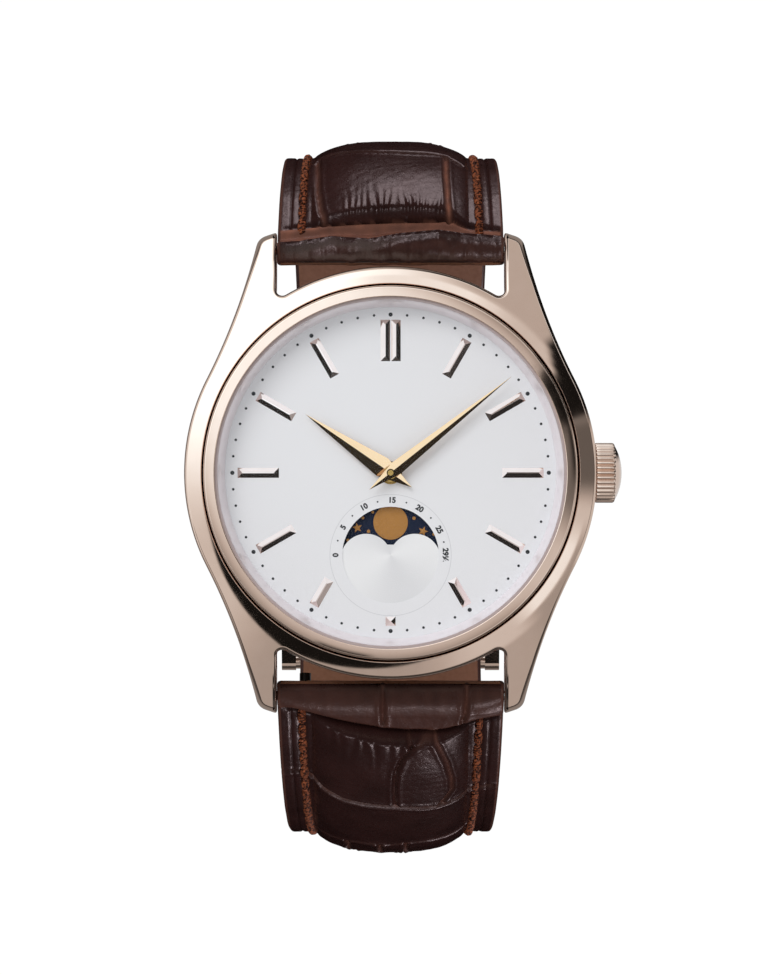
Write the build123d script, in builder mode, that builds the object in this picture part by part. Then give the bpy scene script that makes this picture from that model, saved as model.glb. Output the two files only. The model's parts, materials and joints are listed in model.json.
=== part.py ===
from build123d import *
import os
from math import asin, atan2, cos, degrees, hypot, radians, sin, sqrt

# Moon phase wristwatch on a leather strap, buckled into a loop.
# Millimetres. +Z leaves the dial, +Y is 12 o'clock, +X is the crown.
# The origin is the centre of the case back's outer face, under the hands.

os.makedirs("parts", exist_ok=True)

# Case middle and lugs
strap_size = 20.0  # between the lugs
case_radius = 17.95
bar_gap = 1.6  # spring bar axis past the round case
bar_height = 2.0
lug_nose = 1.6  # metal past the spring bar axis
lug_width = 1.65  # at the tip
lug_tip_slant = 0.5
lug_flank_deg = 27.0  # where the flank leaves the round case
lug_floor = 0.3
lug_end_height = 0.9
dome_radius = 13.0  # of the turned upper surface's curve
dome_run = 6.25  # past the round case
case_floor = 0.6
case_floor_inset = 0.75
case_side_low = 1.5
case_wall = 2.7
seat_height = 6.5  # where the bezel sits
lip_height = 0.3
lip_inset = 1.5
lip_width = 0.13
lug_hole_radius = 0.45
lug_hole_depth = 0.9

# Bezel, crystal and the ring round the dial
bezel_inset = 1.75  # inside the round case
bezel_width = 0.98
bezel_top = 8.5
bezel_crest_in = 0.44  # from the bezel's inner edge
bezel_side = 7.25
bezel_inner_edge = 8.2
skirt_depth = 0.65
skirt_wall = 0.36
skirt_gap = 0.04
crystal_seal = 0.22  # the gasket's wall
crystal_low = 7.3
crystal_edge = 8.2
crystal_crown = 0.25
rehaut_low_in = 0.6  # inside the crystal's edge
rehaut_top_in = 0.08
rehaut_gap = 0.04

# Dial
dial_low = 5.2
dial_top = 5.6
dial_gap = 0.15
dial_hole_radius = 1.0
moon_centre_y = -7.15
moon_ring_radius = 4.18
moon_ring_depth = 0.08
moon_window_radius = 4.2
moon_window_low = 0.5
moon_window_notch = 0.9
cloud_radius = 2.24
cloud_offset = 2.11
cloud_drop = 0.39

# Applied hour markers
marker_width = 0.87
marker_length = 3.6
marker_outer = 13.3
marker_height = 0.35
marker_taper_deg = 48.0
marker_short_length = 2.6  # beside the moon sub-dial
marker_stub_length = 0.8
marker_twin_width = 0.83
marker_twin_offset = 0.46

# Hands, turned clockwise from 12 o'clock
hour_hand_deg = 304.5
hour_hand_length = 9.0
hour_hand_tail = 2.25
hour_hand_half = 0.91
hour_hand_wide_at = 0.87
hour_hand_low = 6.1
minute_hand_deg = 51.5
minute_hand_length = 13.45
minute_hand_tail = 2.38
minute_hand_half = 0.62
minute_hand_wide_at = 0.7
minute_hand_low = 6.6
hand_base = 0.08
hand_ridge = 0.2

# Case back
back_inset = 1.75
back_rim_gap = 0.05
back_rim_wall = 0.9
back_rim_top = 1.8
back_edge = 0.35
back_gasket_out = 0.15  # outside the case's bore
back_gasket_in = 0.25  # inside the case back's edge
back_gasket_height = 0.4

# Crown and stem
stem_height = 3.2
stem_radius = 0.45
stem_inner_end = 8.4
stem_groove_at = 11.3
stem_groove_width = 0.8
stem_groove_radius = 0.25
crown_sink = 0.15
crown_fluted = 1.8
crown_cap = 0.6
crown_radius = 2.62
flute_count = 36
flute_depth = 0.16
crown_hollow_radius = 1.35
crown_hollow_depth = 1.5
crown_recess = 0.4
crown_recess_radius = 2.9
tube_radius = 1.15
tube_bore = 0.52
tube_reach = 0.95  # past the round case
crown_gasket_gap = 0.03
crown_gasket_length = 0.35
clutch_start = 8.6
clutch_end = 10.0
clutch_teeth = 12
clutch_module = 0.13
clutch_bore_gap = 0.05
stem_clear = 0.25

# Movement levels
plate_low = 3.0
plate_top = 3.9
plate_radius = 13.0
holder_gap = 0.05
bridge_low = 1.9
bridge_top = 2.2
running_gap = 0.05
wheel_thickness = 0.2
tooth_tip_share = 0.8  # tooth height past the pitch circle, in modules

# Motion works: module, teeth, levels
motion_module = 0.13
cannon_teeth = 12
minute_wheel_teeth = 36
setting_teeth = 20
minute_pinion_teeth = 10
hour_wheel_teeth = 40
hour_pinion_teeth = 20
day_wheel_teeth = 40
day_wheel_deg = 200.0
moon_disc_teeth = 59
moon_disc_radius = 4.75
moon_tooth_depth = 0.2
moon_disc_thickness = 0.15
finger_width = 0.5
jumper_reach = 1.4  # from the moon disc's edge to the jumper's foot
hand_hub_step = 0.25  # the hour hand's hub inside the pipe's outer size
arbor_radius = 0.12
cannon_radius = 0.42
cannon_neck_radius = 0.34
centre_arbor_radius = 0.25
hour_pipe_radius = 0.8
moon_post_radius = 0.36
moon_post_shoulder = 0.8

# Train
train_module = 0.1
centre_wheel_teeth = 60
third_pinion_teeth = 8
third_wheel_teeth = 40
fifth_pinion_teeth = 10
fifth_wheel_teeth = 30
rotor_pinion_teeth = 10
third_deg = 120.0
fifth_deg = 160.0
rotor_deg = 200.0
rotor_magnet_radius = 0.55
rotor_hole_radius = 0.85
stator_thickness = 0.15

# Battery, coil and circuit
battery_radius = 3.4
battery_height = 1.9
battery_x = 4.2
battery_y = 6.6
clamp_width = 1.4
clamp_thickness = 0.15
clamp_leg = 0.6
coil_radius = 1.0
coil_x = -9.8
coil_low_y = -3.0
coil_high_y = 6.0
core_width = 1.0
core_height = 0.4
core_overhang = 1.4
board_radius = 12.4
board_edge_y = -5.3
board_right_x = 8.8
board_thickness = 0.3
can_radius = 0.7
can_length = 5.0
can_step = 2.1  # from the board's edge
screw_head_radius = 0.7
screw_head_height = 0.2
screw_radius = 0.3
pillar_radius = 0.65
pillar_far_y = 7.5
pillar_low_y = 1.95
lever_gap = 0.02
lever_post_radius = 0.35
lever_back = 2.6  # the setting lever's post from the stem
yoke_reach = 1.95

# Strap
strap_thickness = 2.2
lining_thickness = 0.9
strap_side_gap = 0.15
strap_nose_radius = 1.3
short_end_half_width = 9.0
long_end_half_width = 8.75
tail_tip_half_width = 8.1
tail_tip_length = 7.0
tail_gap = 0.4  # between the short strap and the long strap's tail
short_leave_deg = 36.0  # below level, at the 12 o'clock lugs
short_first_radius = 20.0
short_second_radius = 30.0
short_second_sweep = 50.0
short_third_radius = 12.0
buckle_reach = 7.5  # buckle bar past the hands' axis, towards 6 o'clock
long_leave_deg = 36.9
long_first_radius = 32.5
long_slope_run = 6.107
long_second_sweep = 68.0
long_third_radius = 20.0
tail_last_sweep = 12.0
pad_half_width = 6.6
short_pad_rise = 1.5
long_pad_rise = 1.9
pad_start = 2.1  # from the spring bar axis
pad_round = 0.8
short_pad_fade = 7.7  # how far the pad's curve is drawn in
short_pad_end_sweep = 50.0
long_pad_fade = 5.2
long_pad_end_sweep = 65.0

# Holes, buckle and keepers
hole_pitch = 6.5
holes_before = 2
holes_after = 4
hole_length = 2.5
hole_width = 1.7
tongue_hole_back = 2.3  # before the tail lies level
bar_tube_radius = 0.75
bar_bore = 0.45
bar_pin_radius = 0.4
bar_end_gap = 0.2
pin_end_gap = 0.1  # from the bottom of the lug's hole
release_travel = 1.2
release_knob_x = -7.5
release_knob_radius = 0.5
release_knob_reach = 1.95
long_knob_deg = 12.0
short_knob_deg = 75.0
release_pin_inner = -6.3
fixed_pin_inner = 7.6
buckle_nose_radius = 1.2
buckle_bar_radius = 0.7
buckle_pin_radius = 0.4
buckle_gap = 0.35
buckle_arm = 1.4
buckle_arm_height = 1.9
buckle_front_radius = 0.8
buckle_front_back = 6.2  # along the strap, from the hole in use
strap_clear = 0.25
tongue_half_width = 0.65
tongue_thickness = 0.7
tongue_eye_wall = 0.45
tongue_slot_gap = 0.3
tongue_overhang = 1.3
tongue_bend = 0.8
keeper_width = 4.5
keeper_wall = 1.1
keeper_clear = 0.2
keeper_round = 0.7
fixed_keeper_y = -0.3
free_keeper_y = 6.0

overrun = 1.0  # extra length on cutting tools

half_gap = strap_size / 2
bar_reach = case_radius + bar_gap
dome_reach = case_radius + dome_run
case_floor_radius = case_radius - case_floor_inset
case_bore = case_radius - case_wall
lip_radius = case_radius - lip_inset
bezel_radius = case_radius - bezel_inset
bezel_inner = bezel_radius - bezel_width
bezel_crest = bezel_inner + bezel_crest_in
skirt_radius = bezel_inner + skirt_wall
crystal_radius = bezel_inner - crystal_seal
rehaut_inner = crystal_radius - rehaut_low_in
rehaut_top_inner = crystal_radius - rehaut_top_in
dial_radius = case_bore - dial_gap
back_radius = case_radius - back_inset
back_rim_outer = case_bore - back_rim_gap
back_rim_inner = back_rim_outer - back_rim_wall
back_gasket_inner = case_bore + back_gasket_out
back_gasket_outer = back_radius - back_gasket_in
crown_start = case_radius - crown_sink
tube_end = case_radius + tube_reach
holder_radius = case_bore - holder_gap
holder_inner = plate_radius + holder_gap
lug_tip = bar_reach + lug_nose


# Shared helpers

def on_circle(radius, degree):
    return radius * cos(radians(degree)), radius * sin(radians(degree))


def tooth_points(teeth, inner, outer, turn=0):
    # Four points to a tooth: two at the root and two at the tip.
    points = []
    pitch_angle = 360 / teeth
    for tooth in range(teeth):
        for place_share, radius in ((-0.32, inner), (-0.12, outer), (0.12, outer), (0.32, inner)):
            points.append(on_circle(radius, turn + (tooth + place_share) * pitch_angle))
    return points


def mesh_turn(first_teeth, second_teeth, direction, first_turn=0):
    # Turn of the second wheel that puts its gap at the first wheel's tooth.
    first_phase = (direction - first_turn) * first_teeth / 360
    return direction + 180 - (1 / 2 - first_phase) * 360 / second_teeth


def pitch_radius(teeth, module):
    return teeth * module / 2


def wheel_part(centre, layers, bore=0):
    # layers: (kind, count or radius, module, low, high, turn), stacked on one axis
    with BuildPart() as wheel:
        for kind, count, module, low, high, turn in layers:
            with BuildSketch(Plane((centre[0], centre[1], low))):
                if kind == "teeth":
                    middle = pitch_radius(count, module)
                    with BuildLine():
                        outer = middle + tooth_tip_share * module
                        Polyline(*tooth_points(count, middle - module, outer, turn), close=True)
                    make_face()
                else:
                    Circle(count)
                if bore > 0:
                    Circle(bore, mode=Mode.SUBTRACT)
            extrude(amount=high - low)
    return wheel.part


def along_x(x, y, z):
    return Plane((x, y, z), x_dir=(0, 1, 0), z_dir=(1, 0, 0))


def along_y(x, y, z):
    return Plane((x, y, z), x_dir=(1, 0, 0), z_dir=(0, 1, 0))


def post_part(centre, radius, low, high):
    with BuildPart() as post:
        with BuildSketch(Plane((centre[0], centre[1], low))):
            Circle(radius)
        extrude(amount=high - low)
    return post.part


def ring_part(inner, outer, low, high):
    with BuildPart() as ring:
        with BuildSketch(Plane.XY.offset(low)):
            Circle(outer)
            Circle(inner, mode=Mode.SUBTRACT)
        extrude(amount=high - low)
    return ring.part


# Case middle: a turned ring whose upper curve runs out along the four lugs

dome_left_height = seat_height + lip_height
dome_chord = hypot(dome_reach - lip_radius, dome_left_height - lug_end_height)
dome_deep = sqrt(dome_radius ** 2 - (dome_chord / 2) ** 2)
dome_r = (lip_radius + dome_reach) / 2 - dome_deep * (dome_left_height - lug_end_height) / dome_chord
dome_z = (dome_left_height + lug_end_height) / 2 - dome_deep * (dome_reach - lip_radius) / dome_chord


def dome_height(radius):
    return dome_z + sqrt(dome_radius ** 2 - (radius - dome_r) ** 2)


def dome_point(radius):
    return radius, dome_height(radius)


flank_x, flank_y = on_circle(case_radius, lug_flank_deg)

with BuildPart() as lug_stock:
    with BuildSketch(Plane.XY):
        with BuildLine():
            Polyline(
                (flank_x, flank_y),
                (half_gap, flank_y),
                (half_gap, lug_tip),
                (half_gap + lug_width, lug_tip - lug_tip_slant),
            )
            TangentArc(
                (flank_x, flank_y),
                (half_gap + lug_width, lug_tip - lug_tip_slant),
                tangent=(-sin(radians(lug_flank_deg)), cos(radians(lug_flank_deg))),
            )
        make_face()
        mirror(about=Plane.YZ)
        mirror(about=Plane.XZ)
    extrude(amount=dome_left_height + overrun)
    with BuildSketch(Plane.XZ):
        with BuildLine():
            Polyline(
                dome_point(dome_reach),
                (dome_reach, lug_floor),
                (lip_radius, case_floor),
                dome_point(lip_radius),
            )
            ThreePointArc(
                dome_point(lip_radius),
                dome_point((lip_radius + dome_reach) / 2),
                dome_point(dome_reach),
            )
        make_face()
    revolve(axis=Axis.Z, mode=Mode.INTERSECT)

with BuildPart() as case_middle:
    with BuildSketch(Plane.XZ):
        with BuildLine():
            Polyline(
                dome_point(lip_radius),
                (lip_radius - lip_width, dome_left_height),
                (lip_radius - lip_width, seat_height),
                (skirt_radius + skirt_gap, seat_height),
                (skirt_radius + skirt_gap, seat_height - skirt_depth - skirt_gap),
                (case_bore, seat_height - skirt_depth - skirt_gap),
                (case_bore, case_floor),
                (case_floor_radius, case_floor),
            )
            TangentArc(
                (case_radius, case_side_low),
                (case_floor_radius, case_floor),
                tangent=(0, -1),
            )
            Line((case_radius, case_side_low), dome_point(case_radius))
            ThreePointArc(
                dome_point(case_radius),
                dome_point((case_radius + lip_radius) / 2),
                dome_point(lip_radius),
            )
        make_face()
    revolve(axis=Axis.Z)
    add(lug_stock.part)
    with BuildSketch(Plane.XY.offset(case_floor)):
        Circle(back_gasket_outer)
        Circle(back_gasket_inner, mode=Mode.SUBTRACT)
    extrude(amount=back_gasket_height, mode=Mode.SUBTRACT)
    with BuildSketch(Plane.YZ.offset(case_bore - overrun)):
        with Locations((0, stem_height)):
            Circle(tube_radius)
    extrude(amount=case_radius, mode=Mode.SUBTRACT)
    with BuildSketch(Plane.YZ.offset(case_radius - crown_recess)):
        with Locations((0, stem_height)):
            Circle(crown_recess_radius)
    extrude(amount=crown_recess + overrun, mode=Mode.SUBTRACT)
    with BuildSketch(Plane.YZ):
        with Locations((bar_reach, bar_height), (-bar_reach, bar_height)):
            Circle(lug_hole_radius)
    extrude(amount=half_gap + lug_hole_depth, both=True, mode=Mode.SUBTRACT)

case_middle.part.label = "case_middle"
export_step(case_middle.part, "parts/case_middle.step")


# Bezel, pressed down over the case's neck

with BuildPart() as bezel:
    with BuildSketch(Plane.XZ):
        with BuildLine():
            Polyline(
                (bezel_inner, bezel_inner_edge),
                (bezel_inner, seat_height - skirt_depth),
                (skirt_radius, seat_height - skirt_depth),
                (skirt_radius, seat_height),
                (bezel_radius, seat_height),
                (bezel_radius, bezel_side),
            )
            TangentArc((bezel_radius, bezel_side), (bezel_crest, bezel_top), tangent=(0, 1))
            TangentArc((bezel_crest, bezel_top), (bezel_inner, bezel_inner_edge), tangent=(-1, 0))
        make_face()
    revolve(axis=Axis.Z)
bezel.part.label = "bezel"
export_step(bezel.part, "parts/bezel.step")

with BuildPart() as crystal:
    with BuildSketch(Plane.XZ):
        with BuildLine():
            Polyline(
                (0, crystal_edge + crystal_crown),
                (0, crystal_low),
                (crystal_radius, crystal_low),
                (crystal_radius, crystal_edge),
            )
            TangentArc(
                (0, crystal_edge + crystal_crown),
                (crystal_radius, crystal_edge),
                tangent=(1, 0),
            )
        make_face()
    revolve(axis=Axis.Z)
crystal.part.label = "crystal"
export_step(crystal.part, "parts/crystal.step")

crystal_gasket = ring_part(crystal_radius, bezel_inner, crystal_low, crystal_edge)
crystal_gasket.label = "crystal_gasket"
export_step(crystal_gasket, "parts/crystal_gasket.step")

with BuildPart() as rehaut_ring:
    with BuildSketch(Plane.XZ):
        with BuildLine():
            Polyline(
                (rehaut_inner, dial_top),
                (bezel_inner - rehaut_gap, dial_top),
                (bezel_inner - rehaut_gap, crystal_low),
                (rehaut_top_inner, crystal_low),
                close=True,
            )
        make_face()
    revolve(axis=Axis.Z)
rehaut_ring.part.label = "rehaut_ring"
export_step(rehaut_ring.part, "parts/rehaut_ring.step")


# Case back with its snap rim, and its gasket

with BuildPart() as case_back:
    with BuildSketch(Plane.XY):
        Circle(back_radius)
    extrude(amount=case_floor)
    chamfer(case_back.edges().group_by(Axis.Z)[0], length=back_edge)
    with BuildSketch(Plane.XY.offset(case_floor)):
        Circle(back_rim_outer)
        Circle(back_rim_inner, mode=Mode.SUBTRACT)
    extrude(amount=back_rim_top - case_floor)
case_back.part.label = "case_back"
export_step(case_back.part, "parts/case_back.step")

case_back_gasket = ring_part(
    back_gasket_inner, back_gasket_outer, case_floor, case_floor + back_gasket_height
)
case_back_gasket.label = "case_back_gasket"
export_step(case_back_gasket, "parts/case_back_gasket.step")


# Dial with the moon window, its recess and the hour markers

with BuildPart() as dial:
    with BuildSketch(Plane.XY.offset(dial_low)):
        Circle(dial_radius)
        Circle(dial_hole_radius, mode=Mode.SUBTRACT)
    extrude(amount=dial_top - dial_low)
    with BuildSketch(Plane((0, moon_centre_y, dial_top - moon_ring_depth))):
        Circle(moon_ring_radius)
    extrude(amount=moon_ring_depth, mode=Mode.SUBTRACT)
    with BuildSketch(Plane((0, moon_centre_y, dial_low))):
        Circle(moon_window_radius)
        with Locations((0, moon_window_low - moon_window_radius)):
            Rectangle(2 * moon_window_radius, 2 * moon_window_radius, mode=Mode.SUBTRACT)
        with Locations((-cloud_offset, -cloud_drop), (cloud_offset, -cloud_drop)):
            Circle(cloud_radius, mode=Mode.SUBTRACT)
        with Locations((0, moon_window_notch - moon_window_radius)):
            Rectangle(2 * cloud_offset, 2 * moon_window_radius, mode=Mode.SUBTRACT)
    extrude(amount=dial_top - dial_low, mode=Mode.SUBTRACT)
dial.part.label = "dial"
export_step(dial.part, "parts/dial.step")


def marker_spots():
    # (clock angle, sideways offset, width, length) of each baton
    spots = [
        (0, -marker_twin_offset, marker_twin_width, marker_length),
        (0, marker_twin_offset, marker_twin_width, marker_length),
        (180, 0, marker_width, marker_stub_length),
    ]
    for hour in (1, 2, 3, 4, 8, 9, 10, 11):
        spots.append((30 * hour, 0, marker_width, marker_length))
    for hour in (5, 7):
        spots.append((30 * hour, 0, marker_width, marker_short_length))
    return spots


with BuildPart() as hour_markers:
    for clock_deg, sideways, width, length in marker_spots():
        with BuildSketch(Plane((0, 0, dial_top), x_dir=(*on_circle(1, -clock_deg), 0))):
            with Locations((sideways, marker_outer - length / 2)):
                Rectangle(width, length)
        extrude(amount=marker_height, taper=marker_taper_deg)
hour_markers.part.label = "hour_markers"
export_step(hour_markers.part, "parts/hour_markers.step")


# Hands: a long kite with a ridge, higher at the hub

def kite_sketch(place, length, tail, half, wide_at):
    with BuildSketch(place) as kite:
        with BuildLine():
            Polyline((0, length), (half, wide_at), (0, -tail), (-half, wide_at), close=True)
        make_face()
    return kite.sketch


def hand_part(clock_deg, length, tail, half, wide_at, low, bore):
    place = Plane((0, 0, low), x_dir=(*on_circle(1, -clock_deg), 0))
    outline = kite_sketch(place, length, tail, half, wide_at)
    ridge_foot = kite_sketch(place.offset(hand_base), length, tail, half, wide_at)
    peak = place.from_local_coords(Vector(0, wide_at, hand_base + hand_ridge))
    with BuildPart() as hand:
        extrude(to_extrude=outline, amount=hand_base)
        loft(sections=[ridge_foot.face(), Vertex(peak.X, peak.Y, peak.Z)])
        with BuildSketch(place):
            Circle(bore)
        extrude(amount=hand_base + hand_ridge + overrun, mode=Mode.SUBTRACT)
    return hand.part


hour_hand_hub = hour_pipe_radius - hand_hub_step
hour_hand = hand_part(
    hour_hand_deg, hour_hand_length, hour_hand_tail, hour_hand_half, hour_hand_wide_at,
    hour_hand_low, hour_hand_hub,
)
hour_hand.label = "hour_hand"
export_step(hour_hand, "parts/hour_hand.step")

minute_hand = hand_part(
    minute_hand_deg, minute_hand_length, minute_hand_tail, minute_hand_half, minute_hand_wide_at,
    minute_hand_low, cannon_neck_radius,
)
minute_hand.label = "minute_hand"
export_step(minute_hand, "parts/minute_hand.step")


# Crown: a fluted knob with a domed cap, hollow where it runs over the tube

crown_end = crown_start + crown_fluted


def crown_plane(x):
    return along_x(x, 0, stem_height)


with BuildPart() as crown:
    with BuildSketch(crown_plane(crown_start)):
        with BuildLine():
            Polyline(*tooth_points(flute_count, crown_radius - flute_depth, crown_radius), close=True)
        make_face()
    extrude(amount=crown_fluted)
    with BuildSketch(Plane((0, 0, stem_height), x_dir=(1, 0, 0), z_dir=(0, -1, 0))):
        with BuildLine():
            Polyline(
                (crown_end, crown_radius - flute_depth),
                (crown_end, 0),
                (crown_end + crown_cap, 0),
            )
            TangentArc(
                (crown_end + crown_cap, 0),
                (crown_end, crown_radius - flute_depth),
                tangent=(0, 1),
            )
        make_face()
    revolve(axis=Axis((0, 0, stem_height), (1, 0, 0)))
    with BuildSketch(crown_plane(crown_start)):
        Circle(crown_hollow_radius)
    extrude(amount=crown_hollow_depth, mode=Mode.SUBTRACT)
crown.part.label = "crown"
export_step(crown.part, "parts/crown.step")

with BuildPart() as crown_gasket:
    with BuildSketch(crown_plane(tube_end - crown_gasket_length)):
        Circle(crown_hollow_radius)
        Circle(tube_radius + crown_gasket_gap, mode=Mode.SUBTRACT)
    extrude(amount=crown_gasket_length)
crown_gasket.part.label = "crown_gasket"
export_step(crown_gasket.part, "parts/crown_gasket.step")

with BuildPart() as crown_tube:
    with BuildSketch(crown_plane(holder_radius)):
        Circle(tube_radius)
        Circle(tube_bore, mode=Mode.SUBTRACT)
    extrude(amount=tube_end - holder_radius)
crown_tube.part.label = "crown_tube"
export_step(crown_tube.part, "parts/crown_tube.step")

with BuildPart() as stem:
    with BuildSketch(crown_plane(stem_inner_end)):
        Circle(stem_radius)
    extrude(amount=crown_start + crown_hollow_depth - stem_inner_end)
    with BuildSketch(crown_plane(stem_groove_at - stem_groove_width / 2)):
        Circle(stem_radius + overrun)
        Circle(stem_groove_radius, mode=Mode.SUBTRACT)
    extrude(amount=stem_groove_width, mode=Mode.SUBTRACT)
stem.part.label = "stem"
export_step(stem.part, "parts/stem.step")

with BuildPart() as clutch_pinion:
    with BuildSketch(crown_plane(clutch_start)):
        clutch_middle = pitch_radius(clutch_teeth, clutch_module)
        with BuildLine():
            Polyline(
                *tooth_points(clutch_teeth, clutch_middle - clutch_module, clutch_middle + clutch_module),
                close=True,
            )
        make_face()
        Circle(stem_radius + clutch_bore_gap, mode=Mode.SUBTRACT)
    extrude(amount=clutch_end - clutch_start)
clutch_pinion.part.label = "clutch_pinion"
export_step(clutch_pinion.part, "parts/clutch_pinion.step")


# Places of the wheels, worked out from their teeth

def toward(centre, degree, distance):
    step_x, step_y = on_circle(distance, degree)
    return centre[0] + step_x, centre[1] + step_y


def mesh_distance(first_teeth, second_teeth, module):
    return pitch_radius(first_teeth + second_teeth, module)


hands_axis = (0, 0)
minute_wheel_distance = mesh_distance(cannon_teeth, minute_wheel_teeth, motion_module)
pinion_module = 2 * minute_wheel_distance / (minute_pinion_teeth + hour_wheel_teeth)
minute_wheel_place = toward(hands_axis, 0, minute_wheel_distance)
setting_place = toward(
    minute_wheel_place, 0, mesh_distance(minute_wheel_teeth, setting_teeth, motion_module)
)
day_place = toward(
    hands_axis, day_wheel_deg, mesh_distance(hour_pinion_teeth, day_wheel_teeth, pinion_module)
)
moon_place = (0, moon_centre_y)
third_place = toward(
    hands_axis, third_deg, mesh_distance(centre_wheel_teeth, third_pinion_teeth, train_module)
)
fifth_place = toward(
    third_place, fifth_deg, mesh_distance(third_wheel_teeth, fifth_pinion_teeth, train_module)
)
rotor_place = toward(
    fifth_place, rotor_deg, mesh_distance(fifth_wheel_teeth, rotor_pinion_teeth, train_module)
)

minute_wheel_turn = mesh_turn(cannon_teeth, minute_wheel_teeth, 0)
minute_pinion_turn = mesh_turn(hour_wheel_teeth, minute_pinion_teeth, 0)
setting_turn = mesh_turn(minute_wheel_teeth, setting_teeth, 0, minute_wheel_turn)
day_turn = mesh_turn(hour_pinion_teeth, day_wheel_teeth, day_wheel_deg)
third_turn = mesh_turn(centre_wheel_teeth, third_pinion_teeth, third_deg)
fifth_turn = mesh_turn(third_wheel_teeth, fifth_pinion_teeth, fifth_deg)
rotor_turn = mesh_turn(fifth_wheel_teeth, rotor_pinion_teeth, rotor_deg)

first_low = plate_top + running_gap
first_top = first_low + wheel_thickness
second_low = first_top + running_gap
second_top = second_low + wheel_thickness
third_low = second_top + running_gap
third_top = third_low + wheel_thickness
moon_low = third_top + moon_disc_thickness
moon_top = moon_low + moon_disc_thickness
train_high = plate_low - running_gap
train_upper = train_high - wheel_thickness
train_lower = train_upper - running_gap - wheel_thickness
pivot_low = bridge_low + running_gap


# Motion works and moon works

minute_hand_top = minute_hand_low + hand_base + hand_ridge

center_wheel = wheel_part(
    hands_axis,
    [
        ("teeth", centre_wheel_teeth, train_module, train_upper, train_high, 0),
        ("disc", centre_arbor_radius, 0, pivot_low, minute_hand_top, 0),
    ],
)
center_wheel.label = "center_wheel"
export_step(center_wheel, "parts/center_wheel.step")

cannon_pinion = wheel_part(
    hands_axis,
    [
        ("disc", cannon_radius, 0, train_high, minute_hand_low - running_gap, 0),
        ("teeth", cannon_teeth, motion_module, first_low, first_top, 0),
        ("disc", cannon_neck_radius, 0, minute_hand_low - running_gap, minute_hand_top, 0),
    ],
    bore=centre_arbor_radius,
)
cannon_pinion.label = "cannon_pinion"
export_step(cannon_pinion, "parts/cannon_pinion.step")

hour_wheel = wheel_part(
    hands_axis,
    [
        ("teeth", hour_wheel_teeth, pinion_module, second_low, second_top, 0),
        ("teeth", hour_pinion_teeth, pinion_module, second_top, third_top, 0),
        ("disc", hour_pipe_radius, 0, third_top, hour_hand_low, 0),
        ("disc", hour_hand_hub, 0, hour_hand_low, hour_hand_low + hand_base + hand_ridge, 0),
    ],
    bore=cannon_radius + running_gap,
)
hour_wheel.label = "hour_wheel"
export_step(hour_wheel, "parts/hour_wheel.step")

minute_wheel = wheel_part(
    minute_wheel_place,
    [
        ("teeth", minute_wheel_teeth, motion_module, first_low, first_top, minute_wheel_turn),
        ("teeth", minute_pinion_teeth, pinion_module, first_top, second_top, minute_pinion_turn),
        ("disc", arbor_radius, 0, plate_low, first_low, 0),
    ],
)
minute_wheel.label = "minute_wheel"
export_step(minute_wheel, "parts/minute_wheel.step")

setting_wheel = wheel_part(
    setting_place,
    [
        ("teeth", setting_teeth, motion_module, first_low, first_top, setting_turn),
        ("disc", arbor_radius, 0, plate_low, first_low, 0),
    ],
)
setting_wheel.label = "setting_wheel"
export_step(setting_wheel, "parts/setting_wheel.step")

finger_reach = hypot(day_place[0] - moon_place[0], day_place[1] - moon_place[1])
finger_reach = finger_reach - moon_disc_radius + moon_tooth_depth
with BuildPart() as day_wheel:
    add(
        wheel_part(
            day_place,
            [
                ("teeth", day_wheel_teeth, pinion_module, third_low, third_top, day_turn),
                ("disc", arbor_radius, 0, plate_low, third_low, 0),
                ("disc", finger_width, 0, third_top, moon_top, 0),
            ],
        )
    )
    with BuildSketch(Plane((day_place[0], day_place[1], moon_low))):
        with Locations((-finger_reach / 2, 0)):
            Rectangle(finger_reach, finger_width)
    extrude(amount=moon_disc_thickness)
day_wheel.part.label = "day_wheel"
export_step(day_wheel.part, "parts/day_wheel.step")

with BuildPart() as moon_disc:
    with BuildSketch(Plane((moon_place[0], moon_place[1], moon_low))):
        with BuildLine():
            Polyline(
                *tooth_points(moon_disc_teeth, moon_disc_radius - moon_tooth_depth, moon_disc_radius),
                close=True,
            )
        make_face()
        Circle(moon_post_radius + running_gap, mode=Mode.SUBTRACT)
    extrude(amount=moon_disc_thickness)
moon_disc.part.label = "moon_disc"
export_step(moon_disc.part, "parts/moon_disc.step")

with BuildPart() as moon_post:
    with BuildSketch(Plane((moon_place[0], moon_place[1], plate_top))):
        Circle(moon_post_shoulder)
    extrude(amount=moon_low - running_gap - plate_top)
    with BuildSketch(Plane((moon_place[0], moon_place[1], plate_top))):
        Circle(moon_post_radius)
    extrude(amount=moon_top + running_gap - plate_top)
moon_post.part.label = "moon_post"
export_step(moon_post.part, "parts/moon_post.step")

jumper_foot = (moon_disc_radius + jumper_reach, moon_centre_y / 2)
with BuildPart() as moon_jumper:
    with BuildSketch(Plane((jumper_foot[0], jumper_foot[1], plate_top))):
        Circle(moon_post_shoulder)
    extrude(amount=moon_top - plate_top)
    with BuildSketch(Plane.XY.offset(moon_low)):
        with BuildLine() as jumper_line:
            Line(jumper_foot, (moon_disc_radius + finger_width, moon_centre_y - finger_width))
        trace(jumper_line.line, line_width=finger_width / 2)
    extrude(amount=moon_disc_thickness)
moon_jumper.part.label = "moon_jumper"
export_step(moon_jumper.part, "parts/moon_jumper.step")

washer_low = third_top + running_gap
dial_washer = ring_part(
    hour_pipe_radius + running_gap, hour_pipe_radius * 2, washer_low, washer_low + moon_disc_thickness
)
dial_washer.label = "dial_washer"
export_step(dial_washer, "parts/dial_washer.step")


# Train of the quartz movement

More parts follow.
